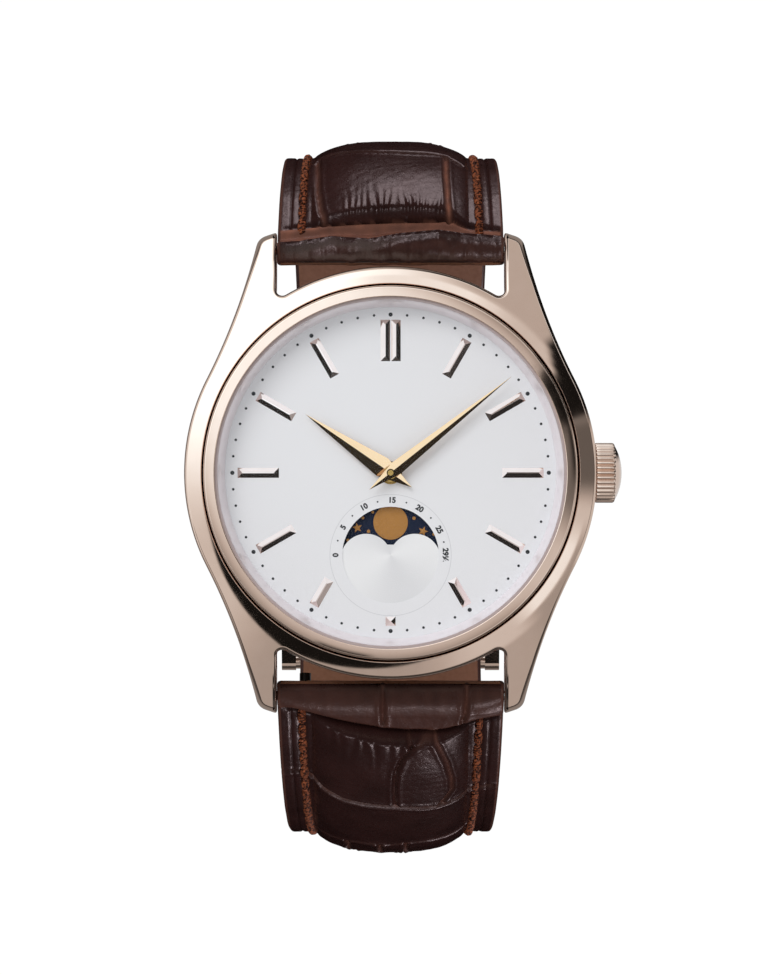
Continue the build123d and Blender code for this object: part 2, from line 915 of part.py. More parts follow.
third_wheel = wheel_part(
    third_place,
    [
        ("teeth", third_wheel_teeth, train_module, train_lower, train_lower + wheel_thickness, 0),
        ("teeth", third_pinion_teeth, train_module, train_upper, train_high, third_turn),
        ("disc", arbor_radius, 0, pivot_low, plate_low + wheel_thickness, 0),
    ],
)
third_wheel.label = "third_wheel"
export_step(third_wheel, "parts/third_wheel.step")

fifth_wheel = wheel_part(
    fifth_place,
    [
        ("teeth", fifth_pinion_teeth, train_module, train_lower, train_lower + wheel_thickness, fifth_turn),
        ("teeth", fifth_wheel_teeth, train_module, train_upper, train_high, 0),
        ("disc", arbor_radius, 0, pivot_low, plate_low + wheel_thickness, 0),
    ],
)
fifth_wheel.label = "fifth_wheel"
export_step(fifth_wheel, "parts/fifth_wheel.step")

rotor_low = bridge_top + running_gap
rotor = wheel_part(
    rotor_place,
    [
        ("disc", rotor_magnet_radius, 0, rotor_low, train_upper - running_gap, 0),
        ("teeth", rotor_pinion_teeth, train_module, train_upper, train_high, rotor_turn),
        ("disc", arbor_radius, 0, pivot_low, plate_low + wheel_thickness, 0),
    ],
)
rotor.label = "rotor"
export_step(rotor, "parts/rotor.step")


# Main plate, bridge, and what they carry

pillar_places = [
    (third_place[0] - 2 * pillar_radius, pillar_far_y),
    (third_place[0] - 3 * pillar_radius, -pillar_low_y),
    (centre_wheel_teeth * train_module / 2 + pillar_radius, -lever_back),
]
arbor_holes = [minute_wheel_place, setting_place, day_place, third_place, fifth_place, rotor_place]
bridge_holes = [third_place, fifth_place, rotor_place]
pivot_hole = arbor_radius + running_gap
lever_pivot = (stem_groove_at, -lever_back)

clutch_clear = clutch_middle + clutch_module + stem_clear

with BuildPart() as main_plate:
    with BuildSketch(Plane.XY.offset(plate_low)):
        Circle(plate_radius)
        with Locations(hands_axis):
            Circle(cannon_radius + running_gap, mode=Mode.SUBTRACT)
        with Locations(*arbor_holes):
            Circle(pivot_hole, mode=Mode.SUBTRACT)
        with Locations(*pillar_places):
            Circle(screw_radius, mode=Mode.SUBTRACT)
        with Locations(lever_pivot):
            Circle(lever_post_radius + running_gap, mode=Mode.SUBTRACT)
        with Locations(((stem_inner_end + plate_radius) / 2, 0)):
            Rectangle(
                plate_radius - stem_inner_end + 2 * running_gap,
                2 * clutch_clear,
                mode=Mode.SUBTRACT,
            )
    extrude(amount=plate_top - plate_low)
main_plate.part.label = "main_plate"
export_step(main_plate.part, "parts/main_plate.step")

with BuildPart() as train_bridge:
    with BuildSketch(Plane.XY.offset(bridge_low)):
        for place in (*pillar_places, rotor_place):
            with Locations(place):
                Circle(2 * pillar_radius)
        make_hull()
        with Locations(hands_axis):
            Circle(centre_arbor_radius + running_gap, mode=Mode.SUBTRACT)
        with Locations(*bridge_holes):
            Circle(pivot_hole, mode=Mode.SUBTRACT)
    extrude(amount=bridge_top - bridge_low)
    with BuildSketch(Plane.XY.offset(bridge_top)):
        with Locations(*pillar_places):
            Circle(pillar_radius)
    extrude(amount=plate_low - bridge_top)
    with BuildSketch(Plane.XY.offset(bridge_low)):
        with Locations(*pillar_places):
            Circle(screw_radius)
    extrude(amount=plate_low - bridge_low, mode=Mode.SUBTRACT)
train_bridge.part.label = "train_bridge"
export_step(train_bridge.part, "parts/train_bridge.step")

with BuildPart() as movement_screws:
    with BuildSketch(Plane.XY.offset(bridge_low - screw_head_height)):
        with Locations(*pillar_places):
            Circle(screw_head_radius)
    extrude(amount=screw_head_height)
    with BuildSketch(Plane.XY.offset(bridge_low)):
        with Locations(*pillar_places):
            Circle(screw_radius)
    extrude(amount=plate_top - wheel_thickness - bridge_low)
movement_screws.part.label = "movement_screws"
export_step(movement_screws.part, "parts/movement_screws.step")

with BuildPart() as movement_holder:
    with BuildSketch(Plane.XY.offset(back_rim_top)):
        Circle(holder_radius)
        Circle(holder_inner, mode=Mode.SUBTRACT)
    extrude(amount=dial_low - back_rim_top)
    with BuildSketch(crown_plane(holder_inner - overrun)):
        Circle(stem_radius + stem_clear)
    extrude(amount=holder_radius, mode=Mode.SUBTRACT)
movement_holder.part.label = "movement_holder"
export_step(movement_holder.part, "parts/movement_holder.step")

with BuildPart() as setting_lever:
    with BuildSketch(Plane.XY.offset(plate_low - wheel_thickness)):
        with BuildLine() as lever_line:
            Line(lever_pivot, (stem_groove_at, -stem_groove_radius))
        trace(lever_line.line, line_width=stem_groove_width / 2)
        with Locations(lever_pivot):
            Circle(2 * lever_post_radius)
    extrude(amount=wheel_thickness - lever_gap)
    with BuildSketch(Plane((lever_pivot[0], lever_pivot[1], plate_low - wheel_thickness))):
        Circle(lever_post_radius)
    extrude(amount=wheel_thickness + plate_top - plate_low)
setting_lever.part.label = "setting_lever"
export_step(setting_lever.part, "parts/setting_lever.step")

with BuildPart() as yoke_spring:
    with BuildSketch(Plane.XY.offset(plate_low - wheel_thickness)):
        with BuildLine() as yoke_line:
            FilletPolyline(
                (setting_place[0], setting_place[1] + yoke_reach),
                (clutch_start, yoke_reach),
                ((clutch_start + clutch_end) / 2, clutch_clear),
                radius=pillar_radius,
            )
        trace(yoke_line.line, line_width=stem_radius)
    extrude(amount=wheel_thickness)
yoke_spring.part.label = "yoke_spring"
export_step(yoke_spring.part, "parts/yoke_spring.step")

battery_low = plate_low - running_gap - battery_height
battery = post_part((battery_x, battery_y), battery_radius, battery_low, plate_low - running_gap)
battery.label = "battery"
export_step(battery, "parts/battery.step")

clamp_span = battery_radius + clamp_leg
with BuildPart() as battery_clamp:
    with BuildSketch(Plane((battery_x, battery_y, battery_low - clamp_thickness))):
        Rectangle(2 * (clamp_span + clamp_leg / 2), clamp_width)
    extrude(amount=clamp_thickness)
    with BuildSketch(Plane((battery_x, battery_y, battery_low - clamp_thickness))):
        with Locations((-clamp_span, 0), (clamp_span, 0)):
            Rectangle(clamp_leg, clamp_width)
    extrude(amount=plate_low - battery_low + clamp_thickness)
battery_clamp.part.label = "battery_clamp"
export_step(battery_clamp.part, "parts/battery_clamp.step")

coil_height = plate_low - running_gap - coil_radius
with BuildPart() as coil:
    with BuildSketch(along_y(coil_x, coil_low_y, coil_height)):
        Circle(coil_radius)
    extrude(amount=coil_high_y - coil_low_y)
    with BuildSketch(along_y(coil_x, coil_low_y - core_overhang, coil_height)):
        Rectangle(core_width, core_height)
    extrude(amount=coil_high_y - coil_low_y + 2 * core_overhang)
coil.part.label = "coil"
export_step(coil.part, "parts/coil.step")

stator_low = bridge_top + running_gap
stator_right = fifth_place[0] - fifth_pinion_teeth * train_module
stator_left = coil_x + coil_radius + running_gap
arm_length = stator_right - coil_x + core_width / 2
with BuildPart() as stator:
    with BuildSketch(Plane.XY.offset(stator_low)):
        with Locations(((stator_left + stator_right) / 2, (coil_low_y + coil_high_y) / 2)):
            Rectangle(stator_right - stator_left, coil_high_y - coil_low_y + 2 * core_overhang)
        for arm_y in (coil_low_y - core_overhang / 2, coil_high_y + core_overhang / 2):
            with Locations((stator_right - arm_length / 2, arm_y)):
                Rectangle(arm_length, core_overhang - 2 * running_gap)
        with Locations(rotor_place):
            Circle(rotor_hole_radius, mode=Mode.SUBTRACT)
    extrude(amount=stator_thickness)
stator.part.label = "stator"
export_step(stator.part, "parts/stator.step")

with BuildPart() as circuit_board:
    with BuildSketch(Plane.XY.offset(plate_low - board_thickness)):
        Circle(board_radius)
        with Locations((0, board_radius + board_edge_y)):
            Rectangle(2 * board_radius, 2 * board_radius, mode=Mode.SUBTRACT)
        with Locations((board_right_x + board_radius, 0)):
            Rectangle(2 * board_radius, 2 * board_radius, mode=Mode.SUBTRACT)
    extrude(amount=board_thickness)
circuit_board.part.label = "circuit_board"
export_step(circuit_board.part, "parts/circuit_board.step")

can_height = plate_low - board_thickness - can_radius
with BuildPart() as quartz_can:
    with BuildSketch(along_x(-can_length / 2, board_edge_y - can_step, can_height)):
        Circle(can_radius)
    extrude(amount=can_length)
quartz_can.part.label = "quartz_can"
export_step(quartz_can.part, "parts/quartz_can.step")


# Strap: both halves are drawn in a plane through 12 and 6 o'clock, outwards and up.
# Their middle lines are arcs and runs, joined without a corner.

short_plane = Plane((0, 0, 0), x_dir=(0, 1, 0), z_dir=(1, 0, 0))
long_plane = Plane((0, 0, 0), x_dir=(0, -1, 0), z_dir=(-1, 0, 0))
strap_half = strap_thickness / 2
bar_place = (bar_reach, bar_height)


def leg_end(point, heading, leg):
    # The middle line's point and heading after one leg; arcs turn clockwise.
    kind, size, sweep = leg
    if kind == "run":
        step_u, step_z = on_circle(size, heading)
        return (point[0] + step_u, point[1] + step_z), heading
    side_u, side_z = on_circle(size, heading + 90)
    end_u, end_z = on_circle(size, heading + 90 - sweep)
    return (point[0] - side_u + end_u, point[1] - side_z + end_z), heading - sweep


def beside(point, heading, offset):
    side_u, side_z = on_circle(offset, heading + 90)
    return point[0] + side_u, point[1] + side_z


def leg_length(leg):
    kind, size, sweep = leg
    return size if kind == "run" else size * radians(sweep)


def walk(start, heading, legs, distance, offset=0):
    point = start
    for kind, size, sweep in legs:
        length = leg_length((kind, size, sweep))
        part_share = min(1, distance / length)
        leg = (kind, size * part_share, 0) if kind == "run" else (kind, size, sweep * part_share)
        point, heading = leg_end(point, heading, leg)
        distance = distance - length
        if distance <= 0:
            break
    return beside(point, heading, offset), heading


def draw_side(start, heading, legs, offset):
    point = start
    for leg in legs:
        kind, size, sweep = leg
        end, end_heading = leg_end(point, heading, leg)
        from_point = beside(point, heading, offset)
        if kind == "run":
            Line(from_point, beside(end, end_heading, offset))
        else:
            JernArc(from_point, on_circle(1, heading), size + offset, -sweep)
        point, heading = end, end_heading
    return beside(point, heading, offset)


def taper_sketch(top_height, top_half, low_height, low_half):
    # Half the width of the strap at two heights, seen from 6 o'clock.
    with BuildSketch(Plane.XZ) as taper:
        with BuildLine():
            Polyline(
                (-top_half, top_height),
                (top_half, top_height),
                (low_half, low_height),
                (-low_half, low_height),
                close=True,
            )
        make_face()
    return taper.sketch


def strip_part(place, start, heading, legs, inner, outer, outline):
    # A layer of the strap between two offsets from its middle line.
    with BuildPart() as strip:
        with BuildSketch(place):
            with BuildLine():
                inner_end = draw_side(start, heading, legs, inner)
                outer_end = draw_side(start, heading, legs, outer)
                Line(beside(start, heading, inner), beside(start, heading, outer))
                Line(inner_end, outer_end)
            make_face()
        extrude(amount=half_gap, both=True)
        extrude(to_extrude=outline, amount=loop_reach, both=True, mode=Mode.INTERSECT)
    return strip.part


def pad_part(place, start, heading, legs, rise, fade, end_sweep):
    # The padded middle: a raised strip that sinks back into the strap.
    first_radius, first_sweep = legs[0][1], legs[0][2]
    second_radius = legs[1][1]
    pad_height = strap_half + rise
    shoulder_radius = first_radius + pad_height
    fading_radius = second_radius + pad_height - fade
    start_turn = degrees(pad_start / first_radius)
    pad_point, pad_heading = leg_end(start, heading, ("arc", first_radius, start_turn))
    shoulder_sweep = first_sweep - start_turn
    top_legs = [("arc", shoulder_radius, shoulder_sweep), ("arc", fading_radius, end_sweep)]
    top = beside(pad_point, pad_heading, pad_height)
    top_end, top_heading = top, pad_heading
    for top_leg in top_legs:
        top_end, top_heading = leg_end(top_end, top_heading, top_leg)
    turn_point, turn_heading = leg_end(start, heading, legs[0])
    centre = beside(turn_point, turn_heading, -second_radius)
    end_angle = degrees(atan2(top_end[1] - centre[1], top_end[0] - centre[0]))
    foot_sweep = turn_heading + 90 - end_angle
    foot_legs = [("arc", first_radius, shoulder_sweep), ("arc", second_radius, foot_sweep)]
    with BuildPart() as pad:
        with BuildSketch(place):
            with BuildLine():
                draw_side(top, pad_heading, top_legs, 0)
                foot_end = draw_side(pad_point, pad_heading, foot_legs, 0)
                Line(pad_point, top)
                Line(top_end, foot_end)
            make_face()
        extrude(amount=pad_half_width, both=True)
        long_edges = pad.edges().filter_by(
            lambda edge: edge.geom_type == GeomType.CIRCLE
            and min(abs(edge.radius - shoulder_radius), abs(edge.radius - fading_radius)) < pad_round / 10
        )
        fillet(long_edges, radius=pad_round)
    return pad.part


short_heading = -short_leave_deg
short_legs = [
    ("arc", short_first_radius, 90 - short_leave_deg),
    ("arc", short_second_radius, short_second_sweep),
    ("arc", short_third_radius, 90 - short_second_sweep),
]
level_point, level_heading = bar_place, short_heading
for short_leg in short_legs:
    level_point, level_heading = leg_end(level_point, level_heading, short_leg)
level_start, short_level = level_point
short_legs.append(("run", level_start + buckle_reach, 0))
buckle_place = (-buckle_reach, short_level)

tail_offset = strap_thickness + tail_gap
tail_level = short_level - tail_offset
long_heading = -long_leave_deg
slope_deg = 90 - long_second_sweep
first_drop = long_first_radius * cos(radians(long_leave_deg))
slope_drop = long_slope_run * sin(radians(slope_deg))
third_drop = long_third_radius * (1 - cos(radians(slope_deg)))
second_drop = bar_height - tail_level - first_drop - slope_drop - third_drop
long_legs = [
    ("arc", long_first_radius, 90 - long_leave_deg),
    ("arc", second_drop / sin(radians(long_second_sweep)), long_second_sweep),
    ("run", long_slope_run, 0),
    ("arc", long_third_radius, slope_deg),
]
tail_start, tail_heading = bar_place, long_heading
for long_leg in long_legs:
    tail_start, tail_heading = leg_end(tail_start, tail_heading, long_leg)
tail_legs = [
    ("run", tail_start[0] + level_start, 0),
    ("arc", short_third_radius + tail_offset, 90 - short_second_sweep),
    ("arc", short_second_radius + tail_offset, tail_last_sweep),
]
tail_tip, tip_heading = tail_start, tail_heading
for tail_leg in tail_legs:
    tail_tip, tip_heading = leg_end(tail_tip, tip_heading, tail_leg)
all_long_legs = long_legs + tail_legs
tongue_at = sum(leg_length(leg) for leg in long_legs) - tongue_hole_back
loop_reach = 2 * bar_reach + strap_size
strap_top_half = half_gap - strap_side_gap
lining_outer = lining_thickness - strap_half

print("short strap length", sum(leg_length(leg) for leg in short_legs))
print("long strap length", sum(leg_length(leg) for leg in all_long_legs))
print("strap levels", short_level, tail_level, "level from", level_start, "to", tail_start)


def long_place(distance, offset=0):
    return walk(bar_place, long_heading, all_long_legs, distance, offset)


def hole_planes():
    planes = []
    for step in range(-holes_before, holes_after + 1):
        (u, z), heading = long_place(tongue_at + step * hole_pitch)
        out_u, out_z = on_circle(1, heading + 90)
        along_u, along_z = on_circle(1, heading)
        planes.append(Plane((0, -u, z), x_dir=(0, -along_u, along_z), z_dir=(0, -out_u, out_z)))
    return planes


short_outline = taper_sketch(
    bar_height + strap_nose_radius, strap_top_half, short_level - strap_thickness, short_end_half_width
)
long_outline = taper_sketch(
    bar_height + strap_nose_radius, strap_top_half, tail_level - strap_thickness, long_end_half_width
)
tip_height = tail_tip[1]
with BuildSketch(Plane.XZ) as tail_outline:
    with BuildLine():
        Polyline(
            (tail_tip_half_width, tip_height - tail_tip_length),
            (long_end_half_width, tail_level - strap_thickness),
            (-long_end_half_width, tail_level - strap_thickness),
            (-tail_tip_half_width, tip_height - tail_tip_length),
        )
        ThreePointArc(
            (tail_tip_half_width, tip_height - tail_tip_length),
            (0, tip_height - strap_side_gap),
            (-tail_tip_half_width, tip_height - tail_tip_length),
        )
    make_face()


def short_strip(inner, outer):
    return strip_part(short_plane, bar_place, short_heading, short_legs, inner, outer, short_outline)


def long_strip(inner, outer):
    return strip_part(long_plane, bar_place, long_heading, long_legs, inner, outer, long_outline)


def tail_strip(inner, outer):
    outline = tail_outline.sketch
    return strip_part(long_plane, tail_start, tail_heading, tail_legs, inner, outer, outline)


def knob_plane(place, knob_deg):
    # Along the quick-release knob, from the spring bar's axis towards the case.
    toward_u, toward_z = on_circle(1, 180 + knob_deg)
    centre = place.from_local_coords(Vector(bar_reach, bar_height, 0))
    reach = place.from_local_coords(Vector(bar_reach + toward_u, bar_height + toward_z, 0)) - centre
    return Plane(centre, x_dir=(1, 0, 0), z_dir=reach)


short_knob = knob_plane(short_plane, short_knob_deg)
long_knob = knob_plane(long_plane, long_knob_deg)
knob_slot_length = 2 * release_knob_radius + release_travel + 2 * strap_clear
knob_slot_centre = release_knob_x + release_travel / 2


def bar_hollow(place, knob):
    # What a strap end leaves open: the spring bar's bore and the knob's slot.
    with BuildPart() as hollow:
        with BuildSketch(place):
            with Locations(bar_place):
                Circle(bar_tube_radius)
        extrude(amount=half_gap, both=True)
        with BuildSketch(knob):
            with Locations((knob_slot_centre, 0)):
                Rectangle(knob_slot_length, 2 * (release_knob_radius + strap_side_gap))
        extrude(amount=2 * strap_nose_radius)
    return hollow.part


def nose_part(place, centre, radius, half):
    with BuildPart() as nose:
        with BuildSketch(place):
            with Locations(centre):
                Circle(radius)
        extrude(amount=half, both=True)
    return nose.part


# Short strap: upper leather with its pad, and lining

short_hollow = bar_hollow(short_plane, short_knob)
with BuildPart() as buckle_hollow:
    with BuildSketch(short_plane):
        with Locations(buckle_place):
            Circle(buckle_bar_radius)
    extrude(amount=half_gap, both=True)
    with BuildSketch(short_plane):
        with Locations(buckle_place):
            Circle(buckle_nose_radius + tongue_slot_gap)
    extrude(amount=tongue_half_width + tongue_slot_gap, both=True)

with BuildPart() as short_strap_upper:
    add(short_strip(lining_outer, strap_half))
    add(
        pad_part(
            short_plane, bar_place, short_heading, short_legs,
            short_pad_rise, short_pad_fade, short_pad_end_sweep,
        )
    )
    add(nose_part(short_plane, bar_place, strap_nose_radius, strap_top_half))
    add(nose_part(short_plane, buckle_place, buckle_nose_radius, short_end_half_width))
    add(short_hollow, mode=Mode.SUBTRACT)
    add(buckle_hollow.part, mode=Mode.SUBTRACT)
short_strap_upper.part.label = "short_strap_upper"
export_step(short_strap_upper.part, "parts/short_strap_upper.step")

with BuildPart() as short_strap_lining:
    add(short_strip(-strap_half, lining_outer))
    add(nose_part(short_plane, bar_place, strap_nose_radius, half_gap), mode=Mode.SUBTRACT)
    add(nose_part(short_plane, buckle_place, buckle_nose_radius, half_gap), mode=Mode.SUBTRACT)
    add(short_hollow, mode=Mode.SUBTRACT)
    add(buckle_hollow.part, mode=Mode.SUBTRACT)
short_strap_lining.part.label = "short_strap_lining"
export_step(short_strap_lining.part, "parts/short_strap_lining.step")


# Long strap, with its holes and its tail outside the short strap

long_hollow = bar_hollow(long_plane, long_knob)

with BuildPart() as long_strap_upper:
    add(long_strip(lining_outer, strap_half))
    add(tail_strip(lining_outer, strap_half))
    add(
        pad_part(
            long_plane, bar_place, long_heading, long_legs,
            long_pad_rise, long_pad_fade, long_pad_end_sweep,
        )
    )
    add(nose_part(long_plane, bar_place, strap_nose_radius, strap_top_half))
    add(long_hollow, mode=Mode.SUBTRACT)
    for hole_place in hole_planes():
        with BuildSketch(hole_place):
            SlotOverall(hole_length, hole_width)
        extrude(amount=strap_thickness, both=True, mode=Mode.SUBTRACT)
long_strap_upper.part.label = "long_strap_upper"
export_step(long_strap_upper.part, "parts/long_strap_upper.step")

with BuildPart() as long_strap_lining:
    add(long_strip(-strap_half, lining_outer))
    add(tail_strip(-strap_half, lining_outer))
    add(nose_part(long_plane, bar_place, strap_nose_radius, half_gap), mode=Mode.SUBTRACT)
    add(long_hollow, mode=Mode.SUBTRACT)
    for hole_place in hole_planes():
        with BuildSketch(hole_place):
            SlotOverall(hole_length, hole_width)
        extrude(amount=strap_thickness, both=True, mode=Mode.SUBTRACT)
long_strap_lining.part.label = "long_strap_lining"
export_step(long_strap_lining.part, "parts/long_strap_lining.step")


# Spring bars with their quick-release pins

def bar_tube_part(place, hollow_knob):
    with BuildPart() as tube:
        with BuildSketch(place):
            with Locations(bar_place):
                Circle(bar_tube_radius)
                Circle(bar_bore, mode=Mode.SUBTRACT)
        extrude(amount=half_gap - bar_end_gap, both=True)
        with BuildSketch(hollow_knob):
            with Locations((knob_slot_centre, 0)):
                Rectangle(knob_slot_length, 2 * (release_knob_radius + running_gap))
        extrude(amount=2 * strap_nose_radius, mode=Mode.SUBTRACT)
    return tube.part


def bar_rod_part(y, radius, start, end):
    with BuildPart() as rod:
        with BuildSketch(along_x(start, y, bar_height)):
            Circle(radius)
        extrude(amount=end - start)
    return rod.part


# The springs are drawn at their pressed length
spring_start = release_pin_inner + release_travel + running_gap


def release_pin_part(y, knob):
    pin_end = -half_gap - lug_hole_depth + pin_end_gap
    with BuildPart() as release:
        add(bar_rod_part(y, bar_pin_radius, pin_end, release_pin_inner))
        with BuildSketch(knob):
            with Locations((release_knob_x, 0)):
                Circle(release_knob_radius)
        extrude(amount=release_knob_reach)
    return release.part


fixed_pin_end = half_gap + lug_hole_depth - pin_end_gap

short_bar_tube = bar_tube_part(short_plane, short_knob)
short_bar_tube.label = "short_bar_tube"
export_step(short_bar_tube, "parts/short_bar_tube.step")

short_bar_pin = bar_rod_part(bar_reach, bar_pin_radius, fixed_pin_inner, fixed_pin_end)
short_bar_pin.label = "short_bar_pin"
export_step(short_bar_pin, "parts/short_bar_pin.step")

short_bar_spring = bar_rod_part(bar_reach, bar_bore - running_gap, spring_start, fixed_pin_inner)
short_bar_spring.label = "short_bar_spring"
export_step(short_bar_spring, "parts/short_bar_spring.step")

short_release_pin = release_pin_part(bar_reach, short_knob)
short_release_pin.label = "short_release_pin"
export_step(short_release_pin, "parts/short_release_pin.step")

long_bar_tube = bar_tube_part(long_plane, long_knob)
long_bar_tube.label = "long_bar_tube"
export_step(long_bar_tube, "parts/long_bar_tube.step")

long_bar_pin = bar_rod_part(-bar_reach, bar_pin_radius, fixed_pin_inner, fixed_pin_end)
long_bar_pin.label = "long_bar_pin"
export_step(long_bar_pin, "parts/long_bar_pin.step")

long_bar_spring = bar_rod_part(-bar_reach, bar_bore - running_gap, spring_start, fixed_pin_inner)
long_bar_spring.label = "long_bar_spring"
export_step(long_bar_spring, "parts/long_bar_spring.step")

long_release_pin = release_pin_part(-bar_reach, long_knob)
long_release_pin.label = "long_release_pin"
export_step(long_release_pin, "parts/long_release_pin.step")


# Buckle: a frame and a tongue that turn on one bar

front_at = tongue_at - buckle_front_back
front_offset = strap_half + strap_clear + buckle_front_radius
front_u, front_z = long_place(front_at, front_offset)[0]
arm_inner = short_end_half_width + buckle_gap
arm_outer = arm_inner + buckle_arm

with BuildPart() as buckle_bar:
    with BuildSketch(along_x(0, -buckle_reach, short_level)):
        Circle(buckle_bar_radius)
    extrude(amount=arm_inner - running_gap, both=True)
    with BuildSketch(along_x(0, -buckle_reach, short_level)):
        Circle(buckle_pin_radius)
    extrude(amount=arm_outer, both=True)
buckle_bar.part.label = "buckle_bar"
export_step(buckle_bar.part, "parts/buckle_bar.step")

arm_span = hypot(front_u - buckle_reach, front_z - short_level)
arm_turn = degrees(asin((front_z - short_level) / arm_span))
arm_middle = ((front_u + buckle_reach) / 2, (front_z + short_level) / 2)

with BuildPart() as buckle_frame:
    with BuildSketch(long_plane):
        with Locations(Location((*arm_middle, 0), (0, 0, arm_turn))):
            SlotCenterToCenter(arm_span, buckle_arm_height)
    extrude(amount=arm_outer, both=True)
    with BuildSketch(long_plane):
        with Locations(Location((*arm_middle, 0), (0, 0, arm_turn))):
            Rectangle(2 * arm_span, 2 * arm_span)
    extrude(amount=arm_inner, both=True, mode=Mode.SUBTRACT)
    with BuildSketch(long_plane):
        with Locations((front_u, front_z)):
            Circle(buckle_front_radius)
    extrude(amount=arm_outer, both=True)
    with BuildSketch(long_plane):
        with Locations((buckle_reach, short_level)):
            Circle(buckle_pin_radius + running_gap)
    extrude(amount=arm_outer, both=True, mode=Mode.SUBTRACT)
buckle_frame.part.label = "buckle_frame"
export_step(buckle_frame.part, "parts/buckle_frame.step")

tongue_half = tongue_thickness / 2
rest_offset = front_offset + buckle_front_radius + running_gap + tongue_half
with BuildPart() as buckle_tongue:
    with BuildSketch(long_plane):
        with BuildLine() as tongue_line:
            FilletPolyline(
                (buckle_reach + buckle_bar_radius + tongue_eye_wall / 2, short_level),
                long_place(tongue_at + tongue_half, -strap_half - tongue_half)[0],
                long_place(tongue_at - tongue_half, strap_half + tongue_thickness)[0],
                long_place(front_at + 2 * buckle_front_radius, rest_offset)[0],
                long_place(front_at - tongue_overhang, rest_offset)[0],
                radius=tongue_bend,
            )
        trace(tongue_line.line, line_width=tongue_thickness)
        with Locations((buckle_reach, short_level)):
            Circle(buckle_bar_radius + running_gap + tongue_eye_wall)
        with Locations((buckle_reach, short_level)):
            Circle(buckle_bar_radius + running_gap, mode=Mode.SUBTRACT)
    extrude(amount=tongue_half_width, both=True)
buckle_tongue.part.label = "buckle_tongue"
export_step(buckle_tongue.part, "parts/buckle_tongue.step")


# Keepers: leather loops round both thicknesses of strap

keeper_inner_top = short_level + strap_half + keeper_clear
keeper_inner_low = tail_level - strap_half - keeper_clear
keeper_inner_half = short_end_half_width + keeper_clear


def keeper_part(y):
    middle = (keeper_inner_top + keeper_inner_low) / 2
    inner_height = keeper_inner_top - keeper_inner_low
    with BuildPart() as keeper:
        with BuildSketch(Plane((0, y, middle), x_dir=(1, 0, 0), z_dir=(0, -1, 0))):
            RectangleRounded(
                2 * (keeper_inner_half + keeper_wall), inner_height + 2 * keeper_wall, keeper_round
            )
            Rectangle(2 * keeper_inner_half, inner_height, mode=Mode.SUBTRACT)
        extrude(amount=keeper_width / 2, both=True)
    return keeper.part


fixed_keeper = keeper_part(fixed_keeper_y)
fixed_keeper.label = "fixed_keeper"
export_step(fixed_keeper, "parts/fixed_keeper.step")

free_keeper = keeper_part(free_keeper_y)
free_keeper.label = "free_keeper"
export_step(free_keeper, "parts/free_keeper.step")
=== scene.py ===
import bpy
import bmesh
import json
import numpy as np
from math import atan2, cos, degrees, hypot, pi, radians, sin, sqrt
from mathutils import Matrix, Vector
from mathutils.geometry import delaunay_2d_cdt


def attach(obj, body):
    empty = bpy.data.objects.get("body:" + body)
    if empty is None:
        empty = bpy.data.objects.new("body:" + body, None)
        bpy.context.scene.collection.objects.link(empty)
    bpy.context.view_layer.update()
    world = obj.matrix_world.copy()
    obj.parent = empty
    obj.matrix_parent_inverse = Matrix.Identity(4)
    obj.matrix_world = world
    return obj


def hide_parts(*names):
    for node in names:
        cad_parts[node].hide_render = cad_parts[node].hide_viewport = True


# Moon phase wristwatch, seen from above with its strap buckled into a loop.
# Sizes are millimetres until a mesh is made, then metres.

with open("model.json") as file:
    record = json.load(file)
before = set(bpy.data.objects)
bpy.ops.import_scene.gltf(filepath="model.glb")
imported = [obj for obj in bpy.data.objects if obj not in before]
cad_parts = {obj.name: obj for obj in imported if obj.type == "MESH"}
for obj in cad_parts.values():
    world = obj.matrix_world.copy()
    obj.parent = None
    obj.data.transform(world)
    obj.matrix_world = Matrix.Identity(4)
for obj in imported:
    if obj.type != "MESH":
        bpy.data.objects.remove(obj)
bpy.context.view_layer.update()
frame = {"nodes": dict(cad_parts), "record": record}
nodes = frame["nodes"]
mm = 0.001
print("frame loaded with", len(nodes), "nodes")

scene = bpy.context.scene


# Camera straight above the dial

cameraValues = {"x": -0.05, "y": -1.28, "height": 352.6, "lens": 147.3, "sensor": 36.0}

cameraData = bpy.data.cameras.new("camera")
cameraData.sensor_width = cameraValues["sensor"]
cameraData.lens = cameraValues["lens"]
cameraData.clip_start = 0.01
camera = bpy.data.objects.new("camera", cameraData)
camera.location = [cameraValues[key] * mm for key in ("x", "y", "height")]
scene.collection.objects.link(camera)
scene.camera = camera


# Helpers for colours and node trees

def linear(hexText):
    values = [int(hexText[place:place + 2], 16) / 255 for place in (1, 3, 5)]
    return [v / 12.92 if v <= 0.04045 else ((v + 0.055) / 1.055) ** 2.4 for v in values] + [1]


def setInputs(node, inputs):
    # A row fills the inputs in order; a node stands for its first output in use
    for key, value in inputs.items() if isinstance(inputs, dict) else enumerate(inputs):
        if isinstance(value, bpy.types.Node):
            value = next(socket for socket in value.outputs if socket.enabled)
        if isinstance(value, bpy.types.NodeSocket):
            node.id_data.links.new(value, node.inputs[key])
        else:
            node.inputs[key].default_value = value


def addNode(tree, kind, inputs=(), **settings):
    node = tree.nodes.new(kind)
    for key, value in settings.items():
        setattr(node, key, value)
    setInputs(node, inputs)
    return node


def startMaterial(name, colour, metallic, roughness):
    material = bpy.data.materials.new(name)
    material.use_nodes = True
    material.diffuse_color = linear(colour)
    shader = material.node_tree.nodes["Principled BSDF"]
    setInputs(shader, {"Base Color": linear(colour), "Metallic": metallic, "Roughness": roughness})
    return material, material.node_tree, shader


